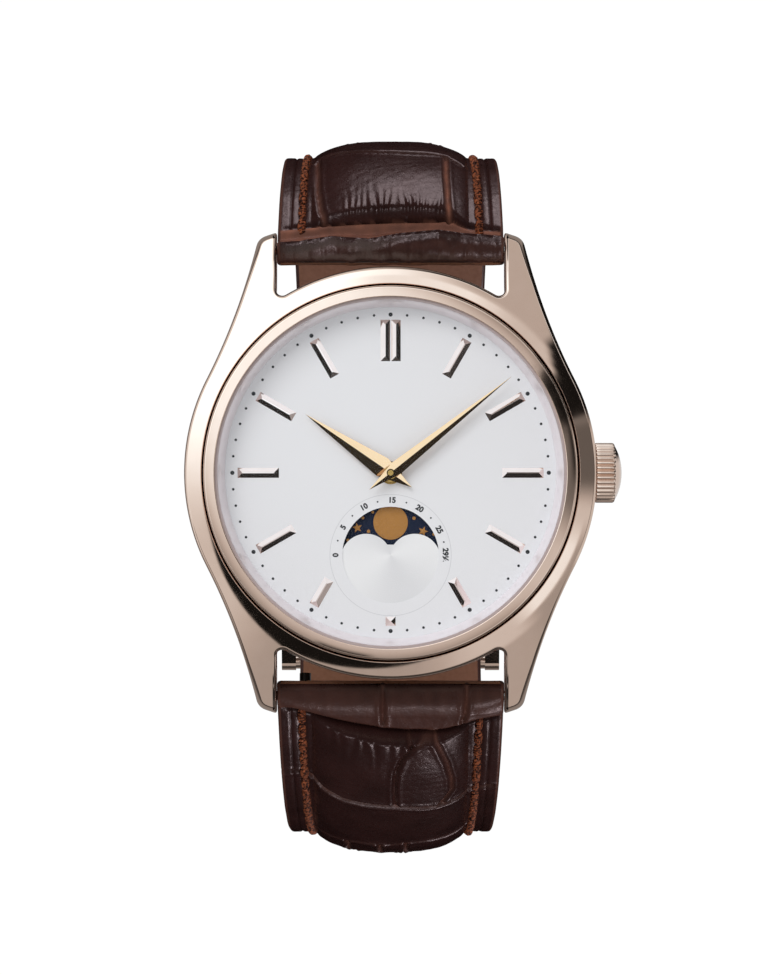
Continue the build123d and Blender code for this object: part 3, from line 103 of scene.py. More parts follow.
def noiseOver(tree, sizeMm, detail, stretch=(1, 1, 1)):
    # Soft noise of one grain size that stays on the piece
    place = addNode(tree, "ShaderNodeTexCoord").outputs["Object"]
    scaled = addNode(tree, "ShaderNodeMapping", {"Vector": place, "Scale": stretch})
    values = {"Vector": scaled, "Scale": 1 / (sizeMm * mm), "Detail": detail}
    return addNode(tree, "ShaderNodeTexNoise", values)


def dress(shader, tone, relief, depthMm, strength, gloss=None):
    # Links the colour, the gloss if it varies, and a relief drawn by the surface normal
    depth = {"Height": relief, "Strength": strength, "Distance": depthMm * mm}
    bump = addNode(shader.id_data, "ShaderNodeBump", depth)
    setInputs(shader, {"Base Color": tone, "Normal": bump})
    if gloss:
        setInputs(shader, {"Roughness": gloss})


def startTree(name, sizes):
    tree = bpy.data.node_groups.new(name, "GeometryNodeTree")
    for label, kind in {"Geometry": "Geometry", **sizes}.items():
        tree.interface.new_socket(name=label, in_out="INPUT", socket_type="NodeSocket" + kind)
    tree.interface.new_socket(name="Geometry", in_out="OUTPUT", socket_type="NodeSocketGeometry")
    return tree, tree.nodes.new("NodeGroupInput").outputs


def endTree(tree, instances, material):
    realized = addNode(tree, "GeometryNodeRealizeInstances", [instances])
    painted = addNode(tree, "GeometryNodeSetMaterial", {"Geometry": realized, "Material": material})
    addNode(tree, "NodeGroupOutput", {"Geometry": painted})


# Helpers for meshes

def faceOutwards(mesh, mergeMm, source=None):
    work = bmesh.new()
    work.from_mesh(source or mesh)
    bmesh.ops.remove_doubles(work, verts=work.verts, dist=mergeMm * mm)
    bmesh.ops.recalc_face_normals(work, faces=work.faces)
    work.to_mesh(mesh)
    work.free()


def smoothFaces(mesh, sharpDeg):
    mesh.polygons.foreach_set("use_smooth", [True] * len(mesh.polygons))
    mesh.set_sharp_from_angle(angle=radians(sharpDeg))


def linkPiece(name, mesh):
    piece = bpy.data.objects.new(name, mesh)
    scene.collection.objects.link(piece)
    return piece


def makePiece(name, points, faces, material, sharpDeg=None, mergeMm=None):
    mesh = bpy.data.meshes.new(name)
    mesh.from_pydata([tuple(float(value) * mm for value in point) for point in points], [], faces)
    mesh.materials.append(material)
    if mergeMm:
        faceOutwards(mesh, mergeMm)
    if sharpDeg:
        smoothFaces(mesh, sharpDeg)
    return linkPiece(name, mesh)


def pointsOf(mesh):
    flat = np.zeros(len(mesh.vertices) * 3)
    mesh.vertices.foreach_get("co", flat)
    return flat.reshape(-1, 3) / mm


def fullTurns(count):
    return [2 * pi * step / count for step in range(count)]


def quarterTurns(count, first=0):
    return [pi / 2 * step / count for step in range(first, count + 1)]


def bandFaces(rows, count, first=0, closed=False, flip=False):
    # Quads between rings of count points each; closed also joins the last ring to the first
    faces = []
    for row in range(rows if closed else rows - 1):
        here, above = first + row * count, first + (row + 1) % rows * count
        for corner in range(count):
            beyond = (corner + 1) % count
            face = (here + corner, here + beyond, above + beyond, above + corner)
            faces.append(face[:1] + face[:0:-1] if flip else face)
    return faces


def tubeFaces(rows, count, first=0):
    # The same, with both ends closed
    last = first + (rows - 1) * count
    ends = [tuple(reversed(range(first, first + count))), tuple(range(last, last + count))]
    return bandFaces(rows, count, first) + ends


def tangentArc(start, end, tangent, count):
    # Points after start, on the arc that leaves along tangent and ends at end
    start, end, tangent = Vector(start), Vector(end), Vector(tangent)
    chord = end - start
    side = Vector((-tangent.y, tangent.x))
    lean = chord.dot(side)
    if abs(lean) < 1e-9:
        return [tuple(start + chord * step / count) for step in range(1, count + 1)]
    centre = start + side * chord.length_squared / (2 * lean)
    sweep = 2 * atan2(tangent.x * chord.y - tangent.y * chord.x, tangent.dot(chord))
    turns = [Matrix.Rotation(sweep * step / count, 2) for step in range(1, count + 1)]
    return [tuple(centre + turn @ (start - centre)) for turn in turns]


def roundCorner(before, corner, after, size, count):
    # Points of a curve that starts size before the corner and ends size past it
    before, corner, after = Vector(before), Vector(corner), Vector(after)
    start = corner + (before - corner).normalized() * size
    end = corner + (after - corner).normalized() * size
    points = [tuple(start)]
    for share in (step / count for step in range(1, count + 1)):
        point = start * (1 - share) ** 2 + corner * 2 * share * (1 - share) + end * share ** 2
        points.append(tuple(point))
    return points


def lathePiece(name, profile, material, segments, centreY=0.0):
    # profile is a closed row of (radius, height); a radius of 0 closes on the axis
    points = [
        (radius * cos(turn), centreY + radius * sin(turn), height)
        for turn in fullTurns(segments) for radius, height in profile
    ]
    faces = bandFaces(segments, len(profile), closed=True, flip=True)
    return makePiece(name, points, faces, material, 30, 0.0005)


def roundPlate(name, centre, radius, thickness, corners, material, lift=0.0):
    # A thin round plate; lift raises its middle
    x, y, z = centre
    high = z + thickness / 2
    rings = [(radius, z - thickness / 2), (radius, high)]
    if lift:
        rings += [(radius * share, high + lift * (1 - share ** 2)) for share in (0.85, 0.6, 0.3)]
    points = [
        (x + reach * cos(turn), y + reach * sin(turn), level)
        for reach, level in rings for turn in fullTurns(corners)
    ]
    return makePiece(name, points, tubeFaces(len(rings), corners), material)


def joinPieces(name, pieces):
    work = bmesh.new()
    for piece in pieces:
        work.from_mesh(piece.data)
    mesh = bpy.data.meshes.new(name)
    work.to_mesh(mesh)
    work.free()
    mesh.materials.append(pieces[0].data.materials[0])
    for piece in pieces:
        bpy.data.objects.remove(piece)
    return linkPiece(name, mesh)


def bakedMesh(piece):
    # The piece's mesh with its modifiers carried out
    bpy.context.view_layer.update()
    return bpy.data.meshes.new_from_object(piece.evaluated_get(bpy.context.evaluated_depsgraph_get()))


def subtract(piece, cutter, solver):
    modifier = piece.modifiers.new("cut", "BOOLEAN")
    modifier.operation = "DIFFERENCE"
    modifier.solver = solver
    modifier.object = cutter
    mesh = bakedMesh(piece)
    piece.modifiers.remove(modifier)
    piece.data = mesh
    bpy.data.objects.remove(cutter)


def roundCutter(radius, length, place, material):
    # A cylinder lying along X, sizes in mm
    bpy.ops.mesh.primitive_cylinder_add(
        vertices=96, radius=radius * mm, depth=length * mm, location=[size * mm for size in place],
        rotation=(0, pi / 2, 0),
    )
    cutter = bpy.context.active_object
    cutter.data.materials.append(material)
    return cutter


def applyTree(piece, tree, values):
    # Runs a node tree once on the piece and keeps the plain mesh
    modifier = piece.modifiers.new(tree.name, "NODES")
    modifier.node_group = tree
    for item in tree.interface.items_tree:
        if item.in_out == "INPUT" and item.name in values:
            modifier[item.identifier] = values[item.name]
    mesh = bakedMesh(piece)
    mesh.name = piece.name
    piece.modifiers.remove(modifier)
    piece.data = mesh
    return piece


def fit(piece, body, slot, *stoodFor):
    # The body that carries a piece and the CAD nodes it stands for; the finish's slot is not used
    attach(piece, body)
    if stoodFor:
        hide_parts(*stoodFor)
    return piece


# Materials

def plainFinish(name, colour, second, metallic, roughness, spread, grain, depth, stretch=(1, 1, 1)):
    # A finish with slight changes of tone and gloss at one grain size, in mm
    material, tree, shader = startMaterial(name, colour, metallic, roughness)
    pattern = noiseOver(tree, grain, 4, stretch)
    tones = {0: pattern, 6: linear(colour), 7: linear(second)}
    tone = addNode(tree, "ShaderNodeMix", tones, data_type="RGBA")
    gloss = addNode(tree, "ShaderNodeMapRange", [pattern, 0.3, 0.7, roughness - spread, roughness + spread])
    dress(shader, tone, pattern, depth, 0.5, gloss)
    return material


def makePolishedPlate(name, colour, second, roughness, grain=0.3):
    # Gold-coloured plating on polished steel: a mirror with faint buffing haze
    material, tree, shader = startMaterial(name, colour, 1.0, roughness)
    haze = noiseOver(tree, 1.4, 2)
    tones = {0: haze, 6: linear(colour), 7: linear(second)}
    tone = addNode(tree, "ShaderNodeMix", tones, data_type="RGBA")
    gloss = addNode(tree, "ShaderNodeMapRange", [haze, 0.3, 0.7, roughness - 0.015, roughness + 0.02])
    dress(shader, tone, noiseOver(tree, 0.12, 2), 0.0004, grain, gloss)
    return material


def makeTurnedSteel():
    # Turned and satin steel: fine rings round the watch's axis
    material, tree, shader = startMaterial("turnedSteel", "#B9B5B1", 1.0, 0.28)
    place = addNode(tree, "ShaderNodeTexCoord").outputs["Object"]
    wave = {"Vector": place, "Scale": 1 / (4.2 * mm), "Distortion": 0.4, "Detail": 2.0}
    rings = addNode(tree, "ShaderNodeTexWave", wave, wave_type="RINGS", rings_direction="Z").outputs["Fac"]
    tones = {0: rings, 6: linear("#B9B5B1"), 7: linear("#A29D99")}
    dress(shader, addNode(tree, "ShaderNodeMix", tones, data_type="RGBA"), rings, 0.006, 0.4)
    return material


def makeDialLacquer(moonCentre, recessRadius, circleGap):
    # Silvery white lacquer over a fine sprayed base; the sub-dial is snailed in fine circles, with a painted
    # sheen: a fan of lighter and darker tone round its middle
    material, tree, shader = startMaterial("silverWhiteLacquer", "#E6E6E8", 0.0, 0.38)
    setInputs(shader, {"Coat Weight": 0.25, "Coat Roughness": 0.12})
    place = addNode(tree, "ShaderNodeTexCoord").outputs["Object"]
    shifted = addNode(tree, "ShaderNodeMapping", {"Vector": place, "Location": (0, -moonCentre * mm, 0)})
    flat = addNode(tree, "ShaderNodeVectorMath", [shifted, (1, 1, 0)], operation="MULTIPLY")
    radius = addNode(tree, "ShaderNodeVectorMath", [flat], operation="LENGTH")
    inside = addNode(tree, "ShaderNodeMath", [radius, recessRadius * mm], operation="LESS_THAN")
    turns = addNode(tree, "ShaderNodeMath", [radius, 2 * pi / (circleGap * mm)], operation="MULTIPLY")
    wave = addNode(tree, "ShaderNodeMath", [turns], operation="SINE")
    snail = addNode(tree, "ShaderNodeMath", [wave, inside], operation="MULTIPLY")
    # Painted sheen: the tone turns lighter and darker round the sub-dial, as the snailed circles would catch
    # the light
    split = addNode(tree, "ShaderNodeSeparateXYZ", [flat]).outputs
    angle = addNode(tree, "ShaderNodeMath", [split["Y"], split["X"]], operation="ARCTAN2")
    spokes = addNode(tree, "ShaderNodeMath", [angle, 2.0, 0.9], operation="MULTIPLY_ADD")
    fan = addNode(tree, "ShaderNodeMath", [spokes], operation="SINE")
    sheen = addNode(tree, "ShaderNodeMapRange", [fan, -1, 1, 0, 1])
    recessTones = {0: sheen, 6: linear("#DCDCDE"), 7: linear("#EBEBEC")}
    recessTone = addNode(tree, "ShaderNodeMix", recessTones, data_type="RGBA")
    grain = noiseOver(tree, 0.09, 2)
    baseTones = {0: grain, 6: linear("#E8E8EA"), 7: linear("#E2E2E5")}
    baseTone = addNode(tree, "ShaderNodeMix", baseTones, data_type="RGBA")
    tone = addNode(tree, "ShaderNodeMix", {0: inside, 6: baseTone, 7: recessTone}, data_type="RGBA")
    relief = addNode(tree, "ShaderNodeMath", [snail, 0.5, grain], operation="MULTIPLY_ADD")
    dress(shader, tone, relief, 0.004, 0.35)
    return material


def makeAlligatorCalf():
    # Embossed calf with an alligator pattern, dyed dark brown and glazed: semi-gloss,
    # lighter where the dye is rubbed thin in the grooves and folds, with a painted shade,
    # a dark navy line, just behind the ridge of the folded lip
    material, tree, shader = startMaterial("embossedBrownCalf", "#33201D", 0.0, 0.36)
    wear = addNode(tree, "ShaderNodeAttribute", attribute_name="wear").outputs["Fac"]
    cloudy = noiseOver(tree, 3.2, 4)
    bodyTones = {0: cloudy, 6: linear("#1E0F0D"), 7: linear("#311B19")}
    body = addNode(tree, "ShaderNodeMix", bodyTones, data_type="RGBA")
    rubbed = addNode(tree, "ShaderNodeMix", {0: wear, 6: body, 7: linear("#7C5344")}, data_type="RGBA")
    # Painted shade: below 0 the attribute turns the tone dark navy, for the shade just behind the lip's ridge
    deep = addNode(tree, "ShaderNodeMath", [wear, -1], operation="MULTIPLY", use_clamp=True)
    shadedTone = addNode(tree, "ShaderNodeMix", {0: deep, 6: rubbed, 7: linear("#14121B")}, data_type="RGBA")
    glaze = addNode(
        tree, "ShaderNodeMath", [wear, -0.6, 0.5], operation="MULTIPLY_ADD", use_clamp=True,
    )  # no glaze left where the dye is rubbed, most on the folded lip
    setInputs(shader, {"Specular IOR Level": glaze})
    fine = noiseOver(tree, 0.22, 5)
    gloss = addNode(tree, "ShaderNodeMapRange", [fine, 0.25, 0.75, 0.24, 0.4])
    rubbedGloss = addNode(tree, "ShaderNodeMath", [wear, 0.22, gloss], operation="MULTIPLY_ADD")
    place = addNode(tree, "ShaderNodeTexCoord").outputs["Object"]
    grid = {"Vector": place, "Scale": 1 / (0.42 * mm)}
    pores = addNode(tree, "ShaderNodeTexVoronoi", grid, feature="DISTANCE_TO_EDGE")
    poreHeight = addNode(
        tree, "ShaderNodeMapRange", [pores, 0.0, 0.12, 0.0, 1.0], interpolation_type="SMOOTHSTEP"
    )
    relief = addNode(tree, "ShaderNodeMath", [poreHeight, 0.35, fine], operation="MULTIPLY_ADD")
    dress(shader, shadedTone, relief, 0.022, 0.5, rubbedGloss)
    return material


def makeThread():
    # Waxed linen thread, rust brown, in small darker and lighter patches; the twist of its plies is in the
    # stitch's shape
    material, tree, shader = startMaterial("waxedRustThread", "#8A4526", 0.0, 0.62)
    fibre = addNode(
        tree, "ShaderNodeMapRange", [noiseOver(tree, 0.2, 4), 0.38, 0.62, 0, 1],
        interpolation_type="SMOOTHSTEP",
    )
    tones = {0: fibre, 6: linear("#260E08"), 7: linear("#94502E")}
    dress(shader, addNode(tree, "ShaderNodeMix", tones, data_type="RGBA"), fibre, 0.03, 0.6)
    return material


def makeSapphire():
    # Clear sapphire with a coating against reflections, so it shows only at its edge
    material, tree, shader = startMaterial("coatedSapphire", "#FFFFFF", 0.0, 0.02)
    gloss = addNode(tree, "ShaderNodeMapRange", [noiseOver(tree, 4.0, 2), 0.3, 0.7, 0.01, 0.02])
    setInputs(shader, {"Transmission Weight": 1.0, "IOR": 1.12, "Roughness": gloss})
    return material


dialValues = {
    "top": 5.6, "dotCircle": 13.75, "smallDot": 0.115, "largeDot": 0.18, "print": 0.012,
    "moonCentre": -7.15, "ringLine": 5.27, "ringWidth": 0.04, "figureCircle": 4.76, "figureHeight": 0.66,
    "days": ["0", "5", "10", "15", "20", "25", "29½"], "moonDays": 29.5, "dayDot": 0.075,
    "recessRadius": 4.18,
    "circleGap": 0.2,  # between the snailed circles; the real ones are finer
}

roseGold = makePolishedPlate("polishedRoseGoldPlate", "#E4C9B8", "#DEC2B0", 0.06)
handGold = makePolishedPlate("polishedPaleGoldPlate", "#ECCAA3", "#E6C298", 0.05, 0.02)
markerGold = makePolishedPlate("facetedRoseSilverPlate", "#E4D2CB", "#DCC9C1", 0.05, 0.02)
turnedSteel = makeTurnedSteel()
dialLacquer = makeDialLacquer(dialValues["moonCentre"], dialValues["recessRadius"], dialValues["circleGap"])
calf = makeAlligatorCalf()
thread = makeThread()
sapphire = makeSapphire()
# Satin ring, pale and even; nylon seal, matt; black pad print and a grey line of painted shade, both half
# matt
satinRose = plainFinish("satinRoseSilver", "#F4EDEF", "#EEE6E9", 0.5, 0.3, 0.02, 2.0, 0.0005)
sealNylon = plainFinish("paleNylonSeal", "#B7A6A4", "#A99896", 0.0, 0.5, 0.05, 0.4, 0.004)
printInk = plainFinish("blackPadPrint", "#17171A", "#202024", 0.0, 0.45, 0.05, 0.3, 0.002)
ringShade = plainFinish("greyPadPrint", "#CDCDD0", "#C4C4C7", 0.0, 0.45, 0.05, 0.3, 0.002)
# Navy lacquer, deep and dull; copper foil, grainy; oxide steel, nearly black
moonLacquer = plainFinish("navyLacquer", "#111A30", "#162038", 0.0, 0.5, 0.06, 0.5, 0.001)
setInputs(moonLacquer.node_tree.nodes["Principled BSDF"], {"Specular IOR Level": 0.15})
moonFoil = plainFinish("copperGoldPrint", "#B9823F", "#9C6A30", 0.35, 0.42, 0.08, 0.28, 0.01)
oxideSteel = plainFinish("blackOxideSteel", "#15110F", "#1D1815", 1.0, 0.4, 0.06, 0.2, 0.002)
# Lining with a dry nap; edge paint, thick and smooth
liningCalf = plainFinish("tanLiningCalf", "#7E5640", "#6B4733", 0.0, 0.68, 0.08, 0.5, 0.03)
edgePaint = plainFinish("brownEdgePaint", "#34211E", "#4A302A", 0.0, 0.42, 0.06, 0.6, 0.02)
# Brass with rolling lines, wire lying in turns, moulded nylon, board with a glossy mask, dull rubber
plateBrass = plainFinish("rolledBrass", "#C9A766", "#B8934F", 1.0, 0.3, 0.06, 0.4, 0.004, (1, 8, 1))
copperWire = plainFinish("enamelledCopperWire", "#B4622E", "#8E4A20", 1.0, 0.32, 0.08, 0.08, 0.01, (1, 6, 1))
nylon = plainFinish("mouldedNylon", "#D8D5CC", "#CBC8BE", 0.0, 0.55, 0.06, 0.4, 0.008)
solderMask = plainFinish("greenSolderMask", "#1F5A35", "#174A2A", 0.0, 0.34, 0.05, 0.7, 0.006)
gasketRubber = plainFinish("nitrileRubber", "#1C1A19", "#262322", 0.0, 0.7, 0.06, 0.25, 0.01)

slotFinish = {
    "rose_gold": roseGold, "steel": turnedSteel, "crystal": sapphire, "gasket": gasketRubber,
    "holder_plastic": nylon, "dial_white": dialLacquer, "marker_gold": markerGold, "hand_gold": handGold,
    "moon_blue": moonLacquer, "movement_brass": plateBrass, "circuit_board": solderMask,
    "coil_copper": copperWire, "strap_leather": calf, "lining_leather": liningCalf,
}
for entry in frame["record"]["subparts"]:
    node = nodes[entry["node"]]
    node.data.materials.clear()
    node.data.materials.append(slotFinish[entry["material_slot"]])
nodes["crystal_gasket"].data.materials[0] = sealNylon
for name in ("cannon_pinion", "short_release_pin", "long_release_pin"):
    nodes[name].data.materials[0] = oxideSteel
print("materials ready")


# Case: its outline from above, its domed top and its walls

caseValues = {
    "radius": 17.95, "strapSize": 20.0, "lugTip": 21.15, "tipWidth": 1.65, "tipSlant": 0.5,
    "flankDeg": 27.0, "gapFillet": 0.6, "tipCorner": 0.72, "gapCorner": 0.3,
    "domeRadius": 13.0, "domeCentre": 13.02, "domeHeight": -5.74, "topSlope": -0.46, "slopeEase": 0.12,
    "lipRadius": 16.5, "lipInner": 16.42, "lipTop": 6.8, "seat": 6.5, "seatInner": 15.62,
    "neckLow": 5.81, "bore": 15.25, "floor": 0.6, "floorRadius": 16.3, "lugFloor": 0.32, "lugReach": 23.6,
    "lowInset": (0.75, 0.28), "lowRise": (0.9, 0.28),  # on the case and on the lugs
    "edgeRound": 0.34, "tipRound": 0.5, "tipFrom": 4.5, "tipSpan": 3.5, "lugMargin": 0.45,
    "capStart": 17.1, "cellSize": 0.36, "nudge": 0.02,
}


def domeHeight(radius):
    values = caseValues
    deep = values["domeRadius"] ** 2 - (radius - values["domeCentre"]) ** 2
    return values["domeHeight"] + np.sqrt(np.maximum(deep, 0.01))


def caseOutline():
    values = caseValues
    radius, half, fillet = values["radius"], values["strapSize"] / 2, values["gapFillet"]
    flank, nudge, corner = radians(values["flankDeg"]), values["nudge"], values["tipCorner"]
    tip = (half + values["tipWidth"], values["lugTip"] - values["tipSlant"])
    innerTip = (half, values["lugTip"] + nudge)
    filletY = sqrt((radius + fillet) ** 2 - (half - fillet) ** 2)
    gapAngle = atan2(filletY, half - fillet)
    quarter = [(radius * cos(flank * step / 54), radius * sin(flank * step / 54)) for step in range(55)]
    quarter += tangentArc(quarter[-1], tip, (-sin(flank), cos(flank)), 70)
    quarter = [(x, y) for x, y in quarter if hypot(x - tip[0], y - tip[1]) > corner + nudge]
    quarter += roundCorner(quarter[-1], tip, innerTip, corner, 10)
    quarter += roundCorner(tip, innerTip, (half, radius), values["gapCorner"], 7)
    quarter += tangentArc(quarter[-1], (half, filletY), (0, -1), 26)
    gapPoint = (radius * cos(gapAngle), radius * sin(gapAngle))
    quarter += tangentArc((half, filletY), gapPoint, (0, -1), 14)
    turns = [gapAngle + (pi / 2 - gapAngle) * step / 60 for step in range(1, 61)]
    quarter += [(radius * cos(turn), radius * sin(turn)) for turn in turns]
    upper = quarter + [(-x, y) for x, y in reversed(quarter[:-1])]
    return np.array(upper + [(-x, -y) for x, y in upper[1:-1]])


def outlineNormals(outline):
    ahead = np.roll(outline, -1, axis=0) - outline
    behind = outline - np.roll(outline, 1, axis=0)
    ahead /= np.linalg.norm(ahead, axis=1)[:, None]
    behind /= np.linalg.norm(behind, axis=1)[:, None]
    along = ahead + behind
    along /= np.linalg.norm(along, axis=1)[:, None]
    mitre = 1 / np.maximum(np.einsum("ij,ij->i", along, ahead), 0.75)
    return np.stack([along[:, 1], -along[:, 0]], axis=1) * mitre[:, None]


def fillRegion(outer, inner, cell, test):
    # Triangles between two loops, with a grid of points wherever test allows
    points = [Vector(point) for point in outer] + [Vector(point) for point in inner]
    first = len(outer)
    edges = [(index, (index + 1) % first) for index in range(first)]
    edges += [(first + index, first + (index + 1) % len(inner)) for index in range(len(inner))]
    reach = float(np.abs(outer).max())
    steps = int(2 * reach / cell)
    for column in range(steps):
        for row in range(steps):
            x, y = -reach + (column + 0.5 * (row % 2)) * cell, -reach + row * cell
            if test(x, y):
                points.append(Vector((x, y)))
    made = delaunay_2d_cdt(points, edges, [], 1, 1e-7)
    return [(point.x, point.y) for point in made[0]], made[2]


def makeCase():
    values = caseValues
    outline = caseOutline()
    normals = outlineNormals(outline)
    radius, lugTip = values["radius"], values["lugTip"]
    lugShare = np.clip((np.linalg.norm(outline, axis=1) - radius) / 2, 0, 1)
    lowInset, lowRise, floorLevel = (
        first * (1 - lugShare) + second * lugShare
        for first, second in (values["lowInset"], values["lowRise"], (values["floor"], values["lugFloor"]))
    )
    tipShare = np.clip((np.abs(outline[:, 1]) - lugTip + values["tipFrom"]) / values["tipSpan"], 0, 1)
    tipShare *= np.clip(normals[:, 0] * np.sign(outline[:, 0]) + 0.6, 0, 1)
    bevel = values["edgeRound"] + (values["tipRound"] - values["edgeRound"]) * tipShare
    rings = []
    for turn in quarterTurns(7):
        place = outline - normals * (bevel * (1 - sin(turn)))[:, None]
        level = domeHeight(np.linalg.norm(place, axis=1)) - bevel * (1 - cos(turn))
        rings.append(np.column_stack([place, level]))
    wallTop, wallLow = rings[-1][:, 2], floorLevel + lowRise
    for step in range(1, 9):
        rings.append(np.column_stack([outline, wallTop + (wallLow - wallTop) * step / 8]))
    for turn in quarterTurns(5, 1):
        place = outline - normals * (lowInset * (1 - cos(turn)))[:, None]
        rings.append(np.column_stack([place, wallLow - lowRise * sin(turn)]))
    points = np.concatenate(rings).tolist()
    faces = bandFaces(len(rings), len(outline), flip=True)

    def circle(reach, level=None):
        level = float(domeHeight(reach)) if level is None else level
        return [(reach * cos(turn), reach * sin(turn), level) for turn in fullTurns(480)]

    def inLug(x, y):
        # Inside a lug and a little away from its edges
        reach = hypot(x, y)
        if reach < radius - 0.1 or abs(x) < values["strapSize"] / 2 + values["lugMargin"]:
            return False
        gaps = np.hypot(outline[:, 0] - x, outline[:, 1] - y)
        nearest = int(gaps.argmin())
        away = np.dot(normals[nearest], (x - outline[nearest][0], y - outline[nearest][1]))
        return gaps[nearest] > bevel[nearest] + 0.08 and away < 0 and reach < lugTip + radius + 0.25

    def addCap(outer, innerRadius, level, flip):
        inner = np.array([(x, y) for x, y, z in circle(innerRadius, 0.0)])
        flatPoints, triangles = fillRegion(outer, inner, values["cellSize"], inLug)
        levels = level(np.hypot(*np.array(flatPoints).T))
        first = len(points)
        points.extend((x, y, z) for (x, y), z in zip(flatPoints, levels))
        for triangle in triangles:
            if sum(hypot(*flatPoints[corner]) for corner in triangle) / 3 >= innerRadius:
                corners = [first + corner for corner in triangle]
                faces.append(tuple(reversed(corners)) if flip else tuple(corners))

    lugSlope = (values["lugFloor"] - values["floor"]) / (values["lugReach"] - values["floorRadius"])
    addCap(rings[0][:, :2], values["capStart"], domeHeight, False)
    addCap(
        rings[-1][:, :2], values["floorRadius"],
        lambda reach: values["floor"] + lugSlope * (reach - values["floorRadius"]), True,
    )
    lip, lipTop = values["lipRadius"], values["lipTop"] - 0.01
    loops = [(values["capStart"] - step * (values["capStart"] - lip) / 14, None) for step in range(15)]
    loops += [
        (lip - values["nudge"], lipTop), (values["lipInner"], lipTop), (values["lipInner"], values["seat"]),
        (values["seatInner"], values["seat"]), (values["seatInner"], values["neckLow"]),
        (values["bore"], values["neckLow"]), (values["bore"], values["floor"]),
        (values["floorRadius"], values["floor"]),
    ]
    faces += bandFaces(len(loops), 480, len(points))
    for loop in loops:
        points.extend(circle(*loop))
    return makePiece("caseMiddle", points, faces, roseGold, mergeMm=0.002)


def shadeTurned(piece, chosen, slopeAt):
    # Chosen points get the exact normals of a turned surface, so that reflections run smoothly
    smoothFaces(piece.data, 32)
    place = pointsOf(piece.data)
    radius = np.hypot(place[:, 0], place[:, 1])
    lean = -slopeAt(radius) / np.maximum(radius, 1e-6)
    exact = np.column_stack([lean * place[:, 0], lean * place[:, 1], np.ones(len(radius))])
    exact /= np.linalg.norm(exact, axis=1)[:, None]
    exact[~chosen(radius, place[:, 2])] = 0
    piece.data.normals_split_custom_set_from_vertices(exact.tolist())


def shadeDome(piece):
    least, ease = caseValues["topSlope"], caseValues["slopeEase"]

    def onTop(radius, level):
        outside = radius > caseValues["lipRadius"] + caseValues["nudge"]
        return (np.abs(level - domeHeight(radius)) < 0.0015) & outside

    def slopeAt(radius):
        slope = (domeHeight(radius + 0.001) - domeHeight(radius - 0.001)) / 0.002
        return np.where(slope < least, least + (slope - least) * ease, slope)  # the lugs' curve eases off
    shadeTurned(piece, onTop, slopeAt)


facetValues = {"lowDeg": 6, "highDeg": 75, "shownDeg": 34}
facetTurns = {  # hour and clock heading of a marker's facet, heading it shades with
    (1, 120): 165, (5, 60): 165, (6, 270): 165,
}


def makeFaceted(name, node, material, turns):
    # A copy whose sloping facets shade as if they sloped at shownDeg, so they catch the horizon
    mesh = bpy.data.meshes.new(name)
    faceOutwards(mesh, 0.0005, nodes[node].data)
    mesh.materials.append(material)
    mesh.polygons.foreach_set("use_smooth", [True] * len(mesh.polygons))
    shownLean = radians(facetValues["shownDeg"])
    shown = []
    for face in mesh.polygons:
        normal = face.normal.copy()
        lean = degrees(atan2(hypot(normal.x, normal.y), normal.z))
        if facetValues["lowDeg"] < lean < facetValues["highDeg"]:
            hour = round(degrees(atan2(face.center.x, face.center.y)) / 30) % 12
            heading = degrees(atan2(normal.x, normal.y)) % 360
            heading = radians(turns.get((hour, round(heading / 15) * 15), heading))
            flat = sin(shownLean)
            normal = Vector((sin(heading) * flat, cos(heading) * flat, cos(shownLean)))
        shown += [normal] * face.loop_total
    mesh.normals_split_custom_set(shown)
    return linkPiece(name, mesh)


fit(makeFaceted("hourHand", "hour_hand", handGold, {}), "hour_arbor", "hand_gold", "hour_hand")
fit(makeFaceted("minuteHand", "minute_hand", handGold, {}), "minute_arbor", "hand_gold", "minute_hand")
fit(makeFaceted("hourMarkers", "hour_markers", markerGold, facetTurns), "head", "marker_gold", "hour_markers")

# Painted shade: a black disc for the dark open end of the minute hand's tube
hubPoints = [point for point in pointsOf(nodes["minute_hand"].data) if hypot(*point[:2]) < 0.4]
handTop = max(point[2] for point in hubPoints)
fit(roundPlate("handBore", (0, 0, handTop + 0.004), 0.27, 0.02, 40, oxideSteel), "minute_arbor", "hand_gold")

crownValues = {
    "start": 17.8, "fluted": 1.8, "cap": 0.62, "radius": 2.62, "depth": 0.17, "flutes": 36,
    "hollow": 1.35, "hollowDepth": 1.5, "stem": 3.2, "chamfer": 0.22,
    "recessRadius": 2.9, "recessFace": 17.55, "recessLength": 4.0,
}

caseMiddle = makeCase()
recessAt = (crownValues["recessFace"] + crownValues["recessLength"] / 2, 0, crownValues["stem"])
recess = roundCutter(crownValues["recessRadius"], crownValues["recessLength"], recessAt, roseGold)
subtract(caseMiddle, recess, "EXACT")
shadeDome(caseMiddle)
fit(caseMiddle, "head", "rose_gold", "case_middle")
print("case ready,", len(caseMiddle.data.polygons), "faces")


# Bezel, crystal and the ring round the dial, all turned

bezelValues = {
    "radius": 16.2, "inner": 15.2, "innerTop": 8.2, "crest": (15.28, 8.5), "crestRound": 0.07,
    "shoulder": (15.98, 8.2), "shoulderDeg": 36.0, "side": 7.7, "seat": 6.5, "seatEdge": (0.06, 0.08),
    "skirt": 15.58, "skirtLow": 5.85,
    "shown": [(15.28, 2.0), (15.9, 8.8), (15.99, 10.2), (16.05, 30.0), (16.13, 60.0), (16.2, 85.0)],
}  # shown: radius and the lean that its polish shows there
crystalValues = {"radius": 15.12, "low": 7.3, "side": 8.1, "domeRadius": 15.0, "top": 8.45, "dome": 0.25}
rehautProfile = [(14.4, 5.62), (14.43, 5.6), (15.18, 5.6), (15.18, 7.3), (14.95, 7.3), (14.92, 7.27)]


